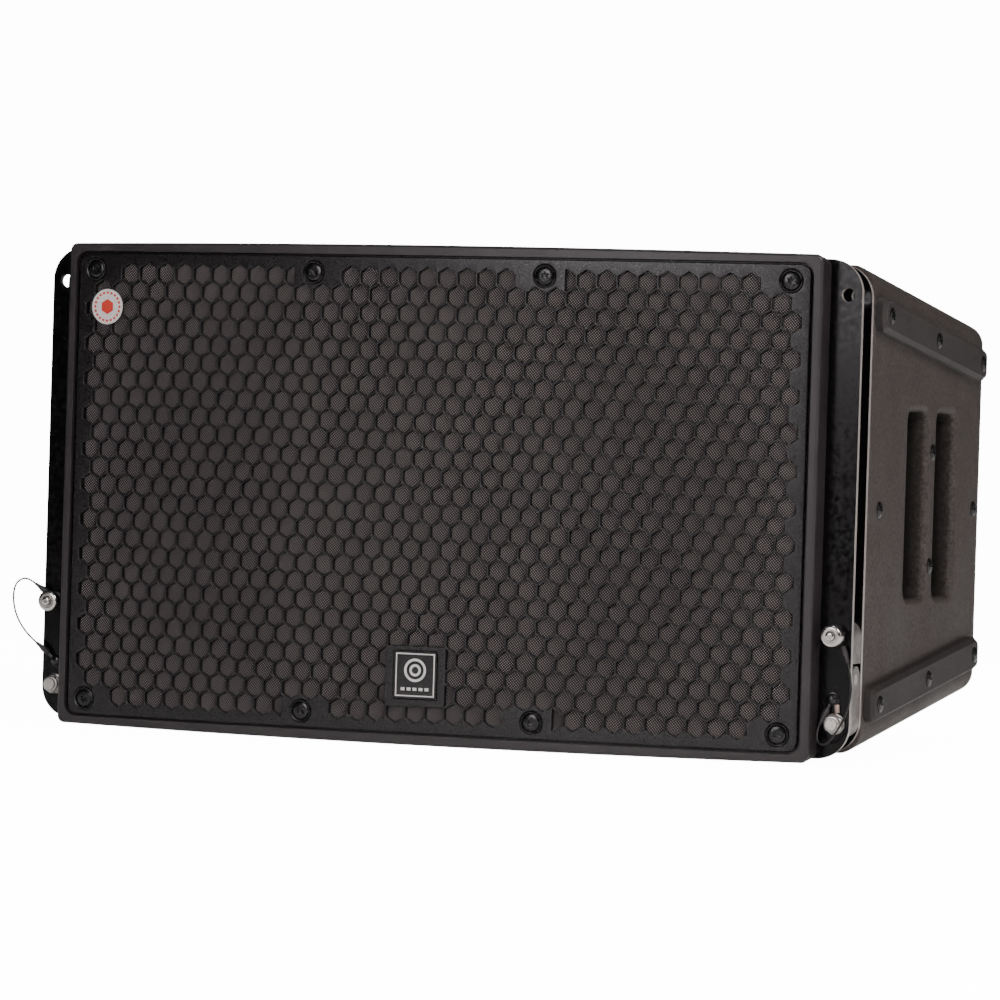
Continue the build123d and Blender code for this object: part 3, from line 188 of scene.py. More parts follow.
# ---- materials ----
class Look:
    """A node material with a Principled shader, and the few node chains that the materials share."""

    def __init__(self, name, colour, roughness, metallic=0.0, specular=0.5, coat=0.0, coat_roughness=0.1):
        self.material = bpy.data.materials.new(name)
        self.material.use_nodes = True
        self.nodes, self.links = self.material.node_tree.nodes, self.material.node_tree.links
        self.shader = self.nodes["Principled BSDF"]
        self.colour = (*colour, 1)
        self.shader.inputs["Base Color"].default_value = self.colour
        self.shader.inputs["Roughness"].default_value = roughness
        self.shader.inputs["Metallic"].default_value = metallic
        self.shader.inputs["Specular IOR Level"].default_value = specular
        self.shader.inputs["Coat Weight"].default_value = coat
        self.shader.inputs["Coat Roughness"].default_value = coat_roughness
        self.place = self.nodes.new("ShaderNodeTexCoord").outputs["Object"]
        self.height = None

    def noise(self, scale, detail=3.0, stretch=None):
        """A noise pattern, stretched along the axes when asked."""
        source = self.place
        if stretch:
            mapping = self.nodes.new("ShaderNodeMapping")
            mapping.inputs["Scale"].default_value = stretch
            self.links.new(source, mapping.inputs["Vector"])
            source = mapping.outputs[0]
        node = self.nodes.new("ShaderNodeTexNoise")
        node.inputs["Scale"].default_value = scale
        node.inputs["Detail"].default_value = detail
        self.links.new(source, node.inputs["Vector"])
        return node.outputs["Fac"]

    def ramp(self, value, low, high, start=0.3, end=0.7):
        """Maps a value to colours or greys between low and high."""
        node = self.nodes.new("ShaderNodeValToRGB")
        elements = node.color_ramp.elements
        elements[0].position, elements[1].position = start, end
        elements[0].color = (*low, 1) if hasattr(low, "__len__") else (low, low, low, 1)
        elements[1].color = (*high, 1) if hasattr(high, "__len__") else (high, high, high, 1)
        self.links.new(value, node.inputs[0])
        return node.outputs[0]

    def tint(self, value, low, high, start=0.3, end=0.7):
        """Colours the surface from low to high with a value."""
        self.links.new(self.ramp(value, low, high, start, end), self.shader.inputs["Base Color"])
        return self

    def shade(self, value):
        """Dims the colour that is already linked."""
        scale = self.nodes.new("ShaderNodeVectorMath")
        scale.operation = "SCALE"
        self.links.new(self.shader.inputs["Base Color"].links[0].from_socket, scale.inputs[0])
        self.links.new(value, scale.inputs["Scale"])
        self.links.new(scale.outputs[0], self.shader.inputs["Base Color"])

    def vary_roughness(self, value, low, high):
        """Makes the surface glossier and duller with a value."""
        self.links.new(self.ramp(value, low, high), self.shader.inputs["Roughness"])
        return self

    def bump(self, value, distance, strength=1.0):
        """Adds relief on top of the relief that is there already."""
        node = self.nodes.new("ShaderNodeBump")
        node.inputs["Distance"].default_value = distance
        node.inputs["Strength"].default_value = strength
        self.links.new(value, node.inputs["Height"])
        if self.height:
            self.links.new(self.height, node.inputs["Normal"])
        self.height = node.outputs[0]
        self.links.new(self.height, self.shader.inputs["Normal"])
        return self

    def math(self, operation, first, second=None):
        """A sum on sockets or numbers."""
        node = self.nodes.new("ShaderNodeMath")
        node.operation = operation
        for socket, value in zip(node.inputs, (first, second)):
            if value is None:
                continue
            if hasattr(value, "links"):
                self.links.new(value, socket)
            else:
                socket.default_value = value
        return node.outputs[0]

    def normal_part(self, axis):
        """How far the surface faces along an axis, without sign."""
        geometry = self.nodes.new("ShaderNodeNewGeometry")
        split = self.nodes.new("ShaderNodeSeparateXYZ")
        self.links.new(geometry.outputs["Normal"], split.inputs[0])
        return self.math("ABSOLUTE", split.outputs[axis])

    def weave(self, pitch, turn):
        """Crossed threads: two sets of ridges at right angles, turned about the front's normal."""
        ridges = []
        for extra in (0, pi / 2):
            mapping = self.nodes.new("ShaderNodeMapping")
            mapping.inputs["Rotation"].default_value = (0, turn + extra, 0)
            self.links.new(self.place, mapping.inputs["Vector"])
            wave = self.nodes.new("ShaderNodeTexWave")
            wave.bands_direction = "X"
            wave.inputs["Scale"].default_value = 2 * pi / (20 * pitch)
            wave.inputs["Distortion"].default_value = 0.0
            wave.inputs["Detail"].default_value = 1.0
            self.links.new(mapping.outputs[0], wave.inputs["Vector"])
            ridges.append(wave.outputs["Fac"])
        return self.math("MULTIPLY", *ridges)


# Painted shade in the handle slots: their walls are painted darker inwards from the face, over these x
# distances in metres, as far back as the Y limit below.
GRIP_SHADE_FADE = (HALF_W - 15.0) / 1000, (HALF_W - 0.5) / 1000
GRIP_SHADE_END_Y = 0.12


def scaled(colour, factor):
    return tuple(part * factor for part in colour)


def cabinet_paint(name, painted_grip_shade=False):
    """Textured paint: orange-peel grain with fine grit, slightly mottled. When asked, painted shade darkens
    the walls inside the grip slots.
    """
    look = Look(name, (0.06, 0.05, 0.047), 0.62, specular=0.3)
    grain, grit, blotch = look.noise(420, 5), look.noise(1500, 2), look.noise(14, 3)
    look.tint(grain, (0.04, 0.033, 0.031), (0.085, 0.071, 0.066), 0.35, 0.68)
    look.vary_roughness(blotch, 0.52, 0.68)
    # Painted shade: the slot walls darken inwards from the side's face, only in front of the Y limit.
    if painted_grip_shade:
        split = look.nodes.new("ShaderNodeSeparateXYZ")
        look.links.new(look.place, split.inputs[0])
        depth = look.ramp(look.math("ABSOLUTE", split.outputs["X"]), 0.03, 1.0, *GRIP_SHADE_FADE)
        behind = look.math("GREATER_THAN", split.outputs["Y"], GRIP_SHADE_END_Y)
        look.shade(look.math("MAXIMUM", depth, behind))
    return look.bump(grain, 0.00035, 0.55).bump(grit, 0.0001, 0.35).material


def moulded_black(name, colour=(0.03, 0.026, 0.028), roughness=0.42, grain=900.0):
    look = Look(name, colour, roughness, specular=0.5)
    fine = look.noise(grain, 2)
    look.tint(look.noise(30, 3), scaled(colour, 0.75), colour)
    look.vary_roughness(fine, roughness - 0.06, roughness + 0.08)
    return look.bump(fine, 0.00006, 0.5).material


def powder_coat(name, colour, roughness):
    look = Look(name, colour, roughness, specular=0.5)
    fine = look.noise(1100, 2)
    look.tint(look.noise(180, 4), scaled(colour, 0.75), scaled(colour, 1.25))
    look.vary_roughness(fine, roughness - 0.08, roughness + 0.1)
    return look.bump(fine, 0.00008, 0.6).material


def gloss_plate():
    """Gloss black enamel on the faces; the cut edges get a painted highlight, a light grey where they catch
    the light.
    """
    look = Look("gloss_black_enamel_edge_highlight", (0.004, 0.0035, 0.004), 0.16, specular=0.2)
    # Painted highlight: surfaces that face sideways rather than forward, the cut edges, are painted light
    # grey.
    painted_edge_highlight_mix = look.normal_part("Y")
    look.tint(painted_edge_highlight_mix, (0.42, 0.38, 0.36), (0.004, 0.0035, 0.004), 0.4, 0.8)
    look.vary_roughness(look.noise(260, 4), 0.10, 0.28)
    return look.bump(look.noise(60, 2), 0.0002, 0.05).material


def bright_steel(name, colour=(0.74, 0.71, 0.68), roughness=0.22, lines=(1, 14, 1)):
    look = Look(name, colour, roughness, metallic=1.0)
    tool_marks = look.noise(300, 2, lines)
    look.tint(tool_marks, scaled(colour, 0.8), colour)
    look.vary_roughness(look.noise(500, 3), roughness - 0.04, roughness + 0.06)
    return look.bump(tool_marks, 0.00001, 0.12).material


def link_steel():
    look = Look("link_steel", (0.30, 0.28, 0.27), 0.48, metallic=0.75)
    look.tint(look.noise(160, 5), (0.22, 0.205, 0.2), (0.36, 0.34, 0.33))
    look.vary_roughness(look.noise(700, 3), 0.38, 0.56)
    return look.bump(look.noise(1200, 2), 0.00005, 0.4).material


def black_screw():
    look = Look("black_oxide", (0.006, 0.0055, 0.006), 0.22, specular=0.5)
    look.vary_roughness(look.noise(900, 3), 0.14, 0.32)
    return look.bump(look.noise(400, 2), 0.00004, 0.2).material


def grille_weave():
    """Speaker cloth: pale grey flecks where the threads cross, dark between."""
    look = Look("grille_cloth", (0.05, 0.045, 0.05), 0.8, specular=0.2)
    threads = look.weave(0.0015, radians(40))
    look.tint(threads, (0.003, 0.0025, 0.003), (0.62, 0.56, 0.55), 0.3, 0.85)
    return look.bump(threads, 0.0004, 0.9).material


def rubber_black():
    look = Look("rubber", (0.015, 0.014, 0.014), 0.6, specular=0.4)
    return look.bump(look.noise(800, 3), 0.00008, 0.5).material


def plain(name, colour, roughness, metallic=0.0, scale=350.0, depth=0.00004):
    """A small piece's material: mottled colour and roughness with a light bump."""
    look = Look(name, colour, roughness, metallic)
    grain = look.noise(scale, 3)
    look.tint(grain, scaled(colour, 0.82), colour)
    look.vary_roughness(grain, max(0.03, roughness - 0.06), roughness + 0.08)
    return look.bump(grain, depth, 0.35).material


PAINT = cabinet_paint("cabinet_paint")
# The side panels' paint carries painted shade inside their handle slots.
SIDE_PAINT_GRIP_SHADE = cabinet_paint("side_paint_grip_shade", painted_grip_shade=True)
BEZEL = moulded_black("bezel_plastic", (0.034, 0.029, 0.031), 0.36)
GRILLE = powder_coat("grille_coat", (0.006, 0.005, 0.006), 0.3)
CLOTH = grille_weave()
PLATE = gloss_plate()
LINK = link_steel()
CHROME = bright_steel("pin_steel")
ZINC = bright_steel("zinc_steel", (0.66, 0.63, 0.6), 0.3, (1, 1, 1))
SCREW = black_screw()
SKID = moulded_black("skid_plastic", (0.034, 0.029, 0.028), 0.66, 700)
CUP = moulded_black("cup_plastic", (0.008, 0.007, 0.008), 0.45)
RUBBER = rubber_black()
WIRE = plain("wire_coating", (0.02, 0.018, 0.018), 0.35, 0.2, 1500)
SLEEVE = moulded_black("sleeve_black", (0.035, 0.03, 0.032), 0.5, 1200)
WHITE = plain("white_print", (0.85, 0.82, 0.8), 0.4)
RED = plain("red_print", (0.72, 0.05, 0.03), 0.4)
FERRULE = plain("copper_ferrule", (0.55, 0.42, 0.36), 0.4, 0.7)
NYLON = plain("nylon_ring", (0.62, 0.58, 0.55), 0.45)

NODE_LOOKS = {
    "cabinet_top": PAINT, "cabinet_bottom": PAINT,
    "cabinet_side_left": SIDE_PAINT_GRIP_SHADE, "cabinet_side_right": SIDE_PAINT_GRIP_SHADE,
    "rear_panel": PAINT, "front_baffle": PAINT, "internal_braces": plain("birch_ply", (0.5, 0.36, 0.22), 0.6),
    "bezel_frame": BEZEL, "rigging_plate_front_left": PLATE, "rigging_plate_front_right": PLATE,
    "rigging_plates_back": PLATE, "rear_rigging_brackets": PLATE, "rigging_bolts": SCREW,
    "link_arm_left": LINK, "link_arm_right": LINK, "link_hook_left": LINK, "link_hook_right": LINK,
    "knuckle_pin_left": ZINC, "knuckle_pin_right": ZINC, "pivot_bolts": ZINC, "skids": SKID,
    "handle_cups": CUP, "woofer_baskets": plain("cast_frame", (0.05, 0.05, 0.05), 0.45, 0.6),
    "woofer_motors": plain("ferrite", (0.05, 0.05, 0.052), 0.5, 0.3), "woofer_surrounds": RUBBER,
    "woofer_spiders": plain("spider_cloth", (0.5, 0.35, 0.12), 0.8),
    "woofer_cone_left": plain("cone_paper", (0.03, 0.03, 0.031), 0.7, 0, 900, 0.0001),
    "woofer_cone_right": plain("cone_paper_right", (0.03, 0.03, 0.031), 0.7, 0, 900, 0.0001),
    "voice_coil_left": plain("coil_copper", (0.6, 0.28, 0.12), 0.35, 1.0),
    "voice_coil_right": plain("coil_copper_right", (0.6, 0.28, 0.12), 0.35, 1.0),
    "waveguide_horn": moulded_black("horn_plastic", (0.02, 0.02, 0.02), 0.5),
    "compression_drivers": plain("driver_case", (0.08, 0.08, 0.08), 0.35, 0.8),
    "bass_ports": moulded_black("port_plastic", (0.02, 0.02, 0.02), 0.55),
    "damping_pads": plain("wadding", (0.45, 0.44, 0.42), 0.95, 0, 300, 0.001),
    "amplifier_panel": powder_coat("panel_coat", (0.022, 0.021, 0.022), 0.45),
    "heat_sink": plain("black_anodise", (0.02, 0.02, 0.021), 0.38, 0.7),
    "power_connectors": moulded_black("nylon_blue_black", (0.02, 0.022, 0.03), 0.4),
    "signal_connectors": moulded_black("nylon_black", (0.025, 0.025, 0.026), 0.4),
    "control_housings": moulded_black("housing_black", (0.02, 0.02, 0.02), 0.45),
    "level_knob": moulded_black("knob_black", (0.03, 0.03, 0.03), 0.5),
    "power_switch": moulded_black("rocker_black", (0.018, 0.018, 0.018), 0.3),
    "status_lights": plain("green_lens", (0.08, 0.5, 0.14), 0.15), "amplifier_screws": SCREW,
    "amplifier_board": plain("solder_mask", (0.02, 0.16, 0.07), 0.35),
    "power_supply": plain("windings", (0.35, 0.24, 0.1), 0.4, 0.5),
    "badge": plain("badge_gloss", (0.012, 0.011, 0.012), 0.15),
}


# ---- mesh helpers ----
def add_piece(name, vertices, faces, look, body="root", sharp=35.0):
    """A mesh piece from design points in millimetres, shaded smooth with sharp creases kept."""
    mesh = bpy.data.meshes.new(name)
    mesh.from_pydata([tuple(place(*v)) for v in vertices], [], faces)
    mesh.validate()
    bm = bmesh.new()
    bm.from_mesh(mesh)
    bmesh.ops.recalc_face_normals(bm, faces=bm.faces)
    bm.to_mesh(mesh)
    bm.free()
    mesh.polygons.foreach_set("use_smooth", [True] * len(mesh.polygons))
    mesh.set_sharp_from_angle(angle=radians(sharp))
    mesh.materials.append(look)
    piece = bpy.data.objects.new(name, mesh)
    bpy.context.collection.objects.link(piece)
    if body:
        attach(piece, body)
    return piece


class Soup:
    """Vertices and faces gathered for one piece."""

    def __init__(self):
        self.vertices, self.faces = [], []

    def add(self, vertices, faces):
        start = len(self.vertices)
        self.vertices += [tuple(v) for v in vertices]
        self.faces += [tuple(index + start for index in face) for face in faces]


def turned(soup, origin, axis, profile, segments=40, shape=None):
    """A turned form: profile is (radius, height along axis) pairs. shape(angle, index) scales a ring.
    A radius of 0 closes the end."""
    axis = Vector(axis).normalized()
    side = axis.orthogonal().normalized()
    if abs(axis.z) < 0.5:
        side = Vector((0, 0, 1))
    other = axis.cross(side)
    origin = Vector(origin)
    vertices, rings = [], []
    for index, (radius, height) in enumerate(profile):
        if radius == 0:
            rings.append([len(vertices)])
            vertices.append(origin + axis * height)
            continue
        ring = []
        for step in range(segments):
            angle = 2 * pi * step / segments
            reach = radius * (shape(angle, index) if shape else 1)
            ring.append(len(vertices))
            vertices.append(origin + axis * height + (side * cos(angle) + other * sin(angle)) * reach)
        rings.append(ring)
    faces = []
    for low, high in zip(rings, rings[1:]):
        for step in range(segments):
            after = (step + 1) % segments
            if len(low) == 1:
                faces.append((low[0], high[after], high[step]))
            elif len(high) == 1:
                faces.append((low[step], low[after], high[0]))
            else:
                faces.append((low[step], low[after], high[after], high[step]))
    soup.add(vertices, faces)


# ---- curved grille and cloth ----
PITCH = 15.0
ROW = PITCH * sqrt(3) / 2
CELL_FLAT = 6.65
ROWS = 25
MID_ROW = 13
COLUMNS = 18
SCREW_X = (89.0, 268.3)
SCREW_Z = 158.7
SCREW_SPOTS = [(sx * x, sz * SCREW_Z) for x in SCREW_X for sx in (-1, 1) for sz in (-1, 1)]
PAD_U = (-268.3, -89.0, 89.0, 268.3)
PAD_HALF = 15.6
BADGE_Z = -128.8
BADGE_BLANK_HALF_W = 23.0
BADGE_BLANK = (-151.7, -107.8)
# A rolled rim: how deep each ring of it lies behind the face, and how much wider than the hole it is.
RIM_DEPTHS = [0.0, 0.12, 0.4, 0.85, GRILLE_T - 0.1]
RIM_GROWS = [0.62, 0.34, 0.12, 0.0, 0.0]
PLATE_SHARP = 50
GRILLE_CORNER, CLOTH_CORNER = 8, 6
GRILLE_SCREW_HOLE, CLOTH_SCREW_HOLE = 8.4, 8.7
CLOTH_DEPTH = GRILLE_T + 0.15
CLOTH_INSET = 7


def on_front(u, z, depth):
    """A point at arc length u on the bulged front, at a depth behind the grille's face."""
    radius = FRONT_R - GRILLE_OFFSET
    angle = u / radius
    return ((radius - depth) * sin(angle), FRONT_R - BULGE - (radius - depth) * cos(angle), z)


def cut_polygon(points, nx, nz, limit):
    """The part of a convex polygon where nx*u + nz*z is at most limit."""
    result = []
    for here, after in zip(points, points[1:] + points[:1]):
        a = nx * here[0] + nz * here[1] - limit
        b = nx * after[0] + nz * after[1] - limit
        if a <= 0:
            result.append(here)
        if a * b < 0:
            share = a / (a - b)
            result.append((here[0] + (after[0] - here[0]) * share, here[1] + (after[1] - here[1]) * share))
    return result


def cell_cuts(u, z, row):
    """The straight cuts on a cell beside a screw pad or the badge's blank, or None if no cell is there."""
    cuts = []
    if row in (1, ROWS):
        for pad in PAD_U:
            offset = u - pad
            if abs(offset) < PAD_HALF - 1:
                return None
            if abs(offset) < PAD_HALF + CELL_FLAT:
                side = 1 if offset > 0 else -1
                cuts.append((-side, 0, -side * (pad + side * PAD_HALF)))
    low, high = BADGE_BLANK
    tip = CELL_FLAT * 2 / sqrt(3)
    if abs(u) < BADGE_BLANK_HALF_W + CELL_FLAT and low - tip < z < high + tip:
        if low < z < high:
            if abs(u) < BADGE_BLANK_HALF_W - 3:
                return None
            side = 1 if u > 0 else -1
            cuts.append((-side, 0, -BADGE_BLANK_HALF_W))
        elif abs(u) < BADGE_BLANK_HALF_W:
            cuts.append((0, 1, low) if z < low else (0, -1, -high))
    return cuts


def cell_polygon(u, z, cuts, grow):
    """A cell's hexagon, point up, with its cuts, grown by a distance all round."""
    reach = (CELL_FLAT + grow) * 2 / sqrt(3)
    points = [(u + reach * sin(pi / 3 * k), z + reach * cos(pi / 3 * k)) for k in range(6)]
    for nx, nz, limit in cuts:
        points = cut_polygon(points, nx, nz, limit + grow)
    return points


def grown_copies(points, grows):
    """A small polygon spread from its middle, one copy for each growth."""
    mid_u = sum(p[0] for p in points) / len(points)
    mid_z = sum(p[1] for p in points) / len(points)
    reach = min(hypot(p[0] - mid_u, p[1] - mid_z) for p in points)
    copies = []
    for grow in grows:
        spread = 1 + grow / reach
        copies.append([(mid_u + (u - mid_u) * spread, mid_z + (z - mid_z) * spread) for u, z in points])
    return copies


def all_cells():
    """Every cell's middle and its cuts. Odd rows have a cell on the middle line."""
    for row in range(1, ROWS + 1):
        z = (MID_ROW - row) * ROW
        count = COLUMNS if row % 2 == 1 else COLUMNS - 0.5
        for step in range(int(2 * count) + 1):
            u = (step - count) * PITCH
            if row in (1, ROWS) and abs(u) > (COLUMNS - 1) * PITCH + 1:
                continue
            cuts = cell_cuts(u, z, row)
            if cuts is not None:
                yield u, z, cuts


def rounded_outline(half_w, half_h, corner, inset=0.0, spacing=11.0):
    """A rounded rectangle's points, closely spaced so that it can bend round the front."""
    points = []
    reach = corner - inset
    half_w, half_h = half_w - inset, half_h - inset
    for index, (sx, sz, start) in enumerate(CORNERS):
        centre = (sx * (half_w - reach), sz * (half_h - reach))
        for step in range(7):
            angle = start + pi / 2 * step / 6
            points.append((centre[0] + reach * cos(angle), centre[1] + reach * sin(angle)))
        nx, nz, _ = CORNERS[(index + 1) % 4]
        here = points[-1]
        turn = start + pi / 2
        target = (nx * (half_w - reach) + reach * cos(turn), nz * (half_h - reach) + reach * sin(turn))
        length = hypot(target[0] - here[0], target[1] - here[1])
        for step in range(1, int(length / spacing)):
            share = step / int(length / spacing)
            points.append((here[0] + (target[0] - here[0]) * share, here[1] + (target[1] - here[1]) * share))
    return points


def circle(u, z, radius, segments=36):
    angles = [2 * pi * k / segments for k in range(segments)]
    return [(u + radius * cos(angle), z + radius * sin(angle)) for angle in angles]


def fill_between(loops):
    """Triangles between an outer loop and the holes in it. made_from turns a loop point's number, counted
    through all the loops, into the number of the point that it became."""
    flat, edges, loop_of = [], [], []
    for number, loop in enumerate(loops):
        start = len(flat)
        flat += [Vector(point) for point in loop]
        loop_of += [number] * len(loop)
        edges += [(start + k, start + (k + 1) % len(loop)) for k in range(len(loop))]
    result = delaunay_2d_cdt(flat, edges, [], 2, 1e-5)
    points, triangles, sources = result[0], result[2], result[3]
    made_from = {source: index for index, found in enumerate(sources) for source in found}
    owner = [loop_of[found[0]] if found else -1 for found in sources]
    # A face whose corners all lie on one hole's edge fills that hole.
    keep = [tuple(face) for face in triangles if len({owner[k] for k in face}) > 1 or owner[face[0]] == 0]
    return points, keep, made_from


def curved_plate(name, outlines, depths, look):
    """A perforated plate bent round the front. outlines is a list of loops, the outer one first, and each
    loop is a list of rings: its points at each depth, from the face's edge to the back."""
    points, keep, made_from = fill_between([loop[0] for loop in outlines])
    vertices = [on_front(p.x, p.y, depths[0]) for p in points]
    back = [on_front(p.x, p.y, depths[-1]) for p in points]
    total, count = len(points), 0
    rims = []
    for loop in outlines:
        rim = [made_from[count + k] for k in range(len(loop[0]))]
        count += len(loop[0])
        for index, (u, z) in zip(rim, loop[-1]):
            back[index] = on_front(u, z, depths[-1])
        rims.append(rim)
    vertices += back
    faces = keep + [tuple(total + k for k in reversed(face)) for face in keep]
    for loop, rim in zip(outlines, rims):
        rings = [rim]
        for depth, ring in list(zip(depths, loop))[1:-1]:
            rings.append(list(range(len(vertices), len(vertices) + len(ring))))
            vertices += [on_front(u, z, depth) for u, z in ring]
        rings.append([total + k for k in rim])
        for low, high in zip(rings, rings[1:]):
            size = len(low)
            faces += [(low[k], low[(k + 1) % size], high[(k + 1) % size], high[k]) for k in range(size)]
    return add_piece(name, vertices, faces, look, "root", PLATE_SHARP)


def make_grille():
    """The steel grille: hexagon cells with rolled rims, blank pads for the screws and the badge."""
    size = (GRILLE_HALF_W, GRILLE_HALF_H, GRILLE_CORNER)
    outlines = [[rounded_outline(*size, grow * 1.3) for grow in RIM_GROWS]]
    for u, z, cuts in all_cells():
        loop = [cell_polygon(u, z, cuts, grow) for grow in RIM_GROWS]
        if len({len(ring) for ring in loop}) > 1 and len(loop[-1]) > 2:
            loop = grown_copies(loop[-1], RIM_GROWS)
        if len(loop[-1]) > 2:
            outlines.append(loop)
    for x, z in SCREW_SPOTS:
        outlines.append([circle(arc_length(x), z, GRILLE_SCREW_HOLE + grow) for grow in RIM_GROWS])
    outlines.append([badge_outline(grow) for grow in RIM_GROWS])
    grille = curved_plate("grille_honeycomb", outlines, RIM_DEPTHS, GRILLE)
    crisp = grille.modifiers.new("flat_faces", "WEIGHTED_NORMAL")
    crisp.keep_sharp = True
    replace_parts(grille, "grille")
    return grille


def arc_length(x):
    radius = FRONT_R - GRILLE_OFFSET
    return radius * asin(x / radius)


def badge_outline(grow):
    """The opening that the badge sits in, grown by a distance all round."""
    half_w, half_h, corner = 16.9 + grow, 17.4 + grow, 1.6 + grow
    points = []
    for sx, sz, start in CORNERS:
        mid_u, mid_z = sx * (half_w - corner), BADGE_Z + sz * (half_h - corner)
        for step in range(4):
            angle = start + pi / 2 * step / 3
            points.append((mid_u + corner * cos(angle), mid_z + corner * sin(angle)))
    return points


def make_cloth(grille):
    """The cloth, stretched over the grille's back, cut out round the screws."""
    half_w, half_h = GRILLE_HALF_W - CLOTH_INSET, GRILLE_HALF_H - CLOTH_INSET
    loops = [rounded_outline(half_w, half_h, CLOTH_CORNER)]
    loops += [circle(arc_length(x), z, CLOTH_SCREW_HOLE) for x, z in SCREW_SPOTS]
    points, faces, _ = fill_between(loops)
    sheet = [on_front(p.x, p.y, CLOTH_DEPTH) for p in points]
    cloth = add_piece("grille_cloth_sheet", sheet, faces, CLOTH, "root", PLATE_SHARP)
    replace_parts(cloth, "grille_fabric")


# ---- screws: profiles are (radius, height) pairs, out of the surface ----
CUP_WASHER = [
    (3.1, -3.6), (8.2, -3.6), (8.25, 0.1), (8.0, 0.55), (7.5, 0.75), (7.0, 0.6), (6.7, 0.1), (6.5, -1.6),
    (3.1, -2.2), (3.1, -3.6),
]
TORX_HEAD = [
    (0, -9), (2.9, -9), (2.9, -2.5), (6.3, -1.5), (6.35, -0.9), (5.9, -0.35), (5.0, -0.1), (3.8, 0.05),
    (2.7, 0.05), (2.5, -0.1), (2.3, -1.9), (0, -2.3),
]
TORX_RINGS = (8, 9, 10)
TORX_PIN = [(0, -0.7), (0.45, -0.75), (0.5, -2.2)]
CROSS_HEAD = [
    (0, -6), (2.4, -6), (2.4, -0.2), (6.0, -0.2), (6.0, 0.35), (5.4, 1.0), (4.2, 1.6), (3.5, 1.8), (3.1, 1.9),
    (2.4, 0.2), (0, 0.0),
]
CROSS_RINGS = (8, 9)
CROSS_HALF = 0.26
BAR_Y = 218.0
SIDE_SPOTS = ((BAR_Y, 42), (BAR_Y, -42), (80, 0), (338, 0))
SKID_SCREW_Y = (70.0, 198.0, 326.5)
SKID_PROUD = 8.0
SKID_DROP = 33.0


def torx_socket(angle, ring):
    """Six lobes on the socket's rings."""
    return 1 + 0.14 * cos(6 * angle) if ring in TORX_RINGS else 1


def cross_socket(angle, ring):
    """A cross with arms one radius long on the recess's rings."""
    if ring not in CROSS_RINGS:
        return 1
    reach = max(CROSS_HALF / max(abs(sin(angle)), 1e-6), CROSS_HALF / max(abs(cos(angle)), 1e-6))
    return min(1.0, reach)


def front_normal(x):
    """Outward direction of the bulged front at x."""
    angle = asin(x / (FRONT_R - GRILLE_OFFSET))
    return Vector((sin(angle), -cos(angle), 0))


def make_grille_screws():
    """Torx screws with a centre pin, in cup washers."""
    washers, screws = Soup(), Soup()
    for x, z in SCREW_SPOTS:
        spot, normal = Vector(on_front(arc_length(x), z, 0)), front_normal(x)
        turned(washers, spot, normal, CUP_WASHER, 56)
        turned(screws, spot, normal, TORX_HEAD, 48, torx_socket)
        turned(screws, spot, normal, TORX_PIN, 16)
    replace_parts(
        add_piece("cup_washers", washers.vertices, washers.faces, SCREW, "root"),
        "grille_cup_washers",
    )
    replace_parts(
        add_piece("torx_screws", screws.vertices, screws.faces, SCREW, "root"),
        "grille_screws",
    )


def make_side_screws():
    """Truss-head cross-recess screws of the skids, the bars and the sides."""
    soup = Soup()
    for side in SIDES.values():
        spots = [(HALF_W, y, z) for y, z in SIDE_SPOTS]
        for y in SKID_SCREW_Y:
            for s in (-1, 1):
                spots.append((HALF_W + SKID_PROUD, y, s * (HALF_H - TAPER * y - SKID_DROP)))
        for x, y, z in spots:
            turned(soup, (side * x, y, z), (side, 0, 0), CROSS_HEAD, 64, cross_socket)
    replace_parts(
        add_piece("cross_screws", soup.vertices, soup.faces, SCREW, "root", 30),
        "side_screws",
    )


# ---- pins and nuts ----
KNOB = [
    (0, -56.3), (3.6, -56.3), (4.7, -55), (4.72, -20.9), (5.5, -20.9), (5.6, -20.4), (5.6, -15.2),
    (6.9, -15.0), (7.5, -14.6), (7.75, -13.9), (7.75, -5.6), (7.5, -4.6), (7.0, -4.1), (6.3, -3.8),
    (5.6, -3.7), (5.3, -4.1), (4.9, -4.1), (4.6, -3.6), (3.9, -3.6), (3.5, -3.9), (3.3, -5.0), (3.28, -12),
]
LOCK_BALL = [(1.5, -0.6), (1.4, 0.2), (0.9, 0.65), (0, 0.8)]
LOCK_BALL_X, LOCK_BALL_Y = 3.9, 52.5
COLLAR = [(5.6, -1.3), (6.6, -1.1), (6.8, 0), (6.6, 1.1), (5.6, 1.3)]
COLLAR_Y = 17.8
BUTTON = [
    (0, -11.4), (3.1, -11.4), (3.15, -3.2), (3.1, -1.9), (2.8, -1.35), (2.2, -1.1), (1.5, -1.05), (1.3, -1.3),
    (0, -1.35),
]
OUTWARD = (0, -1, 0)


def make_pins():
    """Quick release pins: flanged knob with a turned face, collar, shaft with locking balls, and button."""
    for name, side in SIDES.items():
        spot = (side * HOLE_X, 0, PIN_Z)
        knob = Soup()
        turned(knob, spot, OUTWARD, KNOB, 64)
        for s in (-1, 1):
            centre = (side * HOLE_X + s * LOCK_BALL_X, LOCK_BALL_Y, PIN_Z)
            turned(knob, centre, (s, 0, 0), LOCK_BALL, 20)
        turned(knob, (side * HOLE_X, COLLAR_Y, PIN_Z), (0, 1, 0), COLLAR, 40)
        vertices, faces = knob.vertices, knob.faces
        piece = add_piece(f"release_pin_{name}", vertices, faces, CHROME, f"pin_{name}")
        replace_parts(piece, f"locking_pin_{name}")
        button = Soup()
        turned(button, spot, OUTWARD, BUTTON, 40)
        vertices, faces = button.vertices, button.faces
        piece = add_piece(f"release_button_{name}", vertices, faces, CHROME, f"button_{name}")
        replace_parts(piece, f"pin_button_{name}")


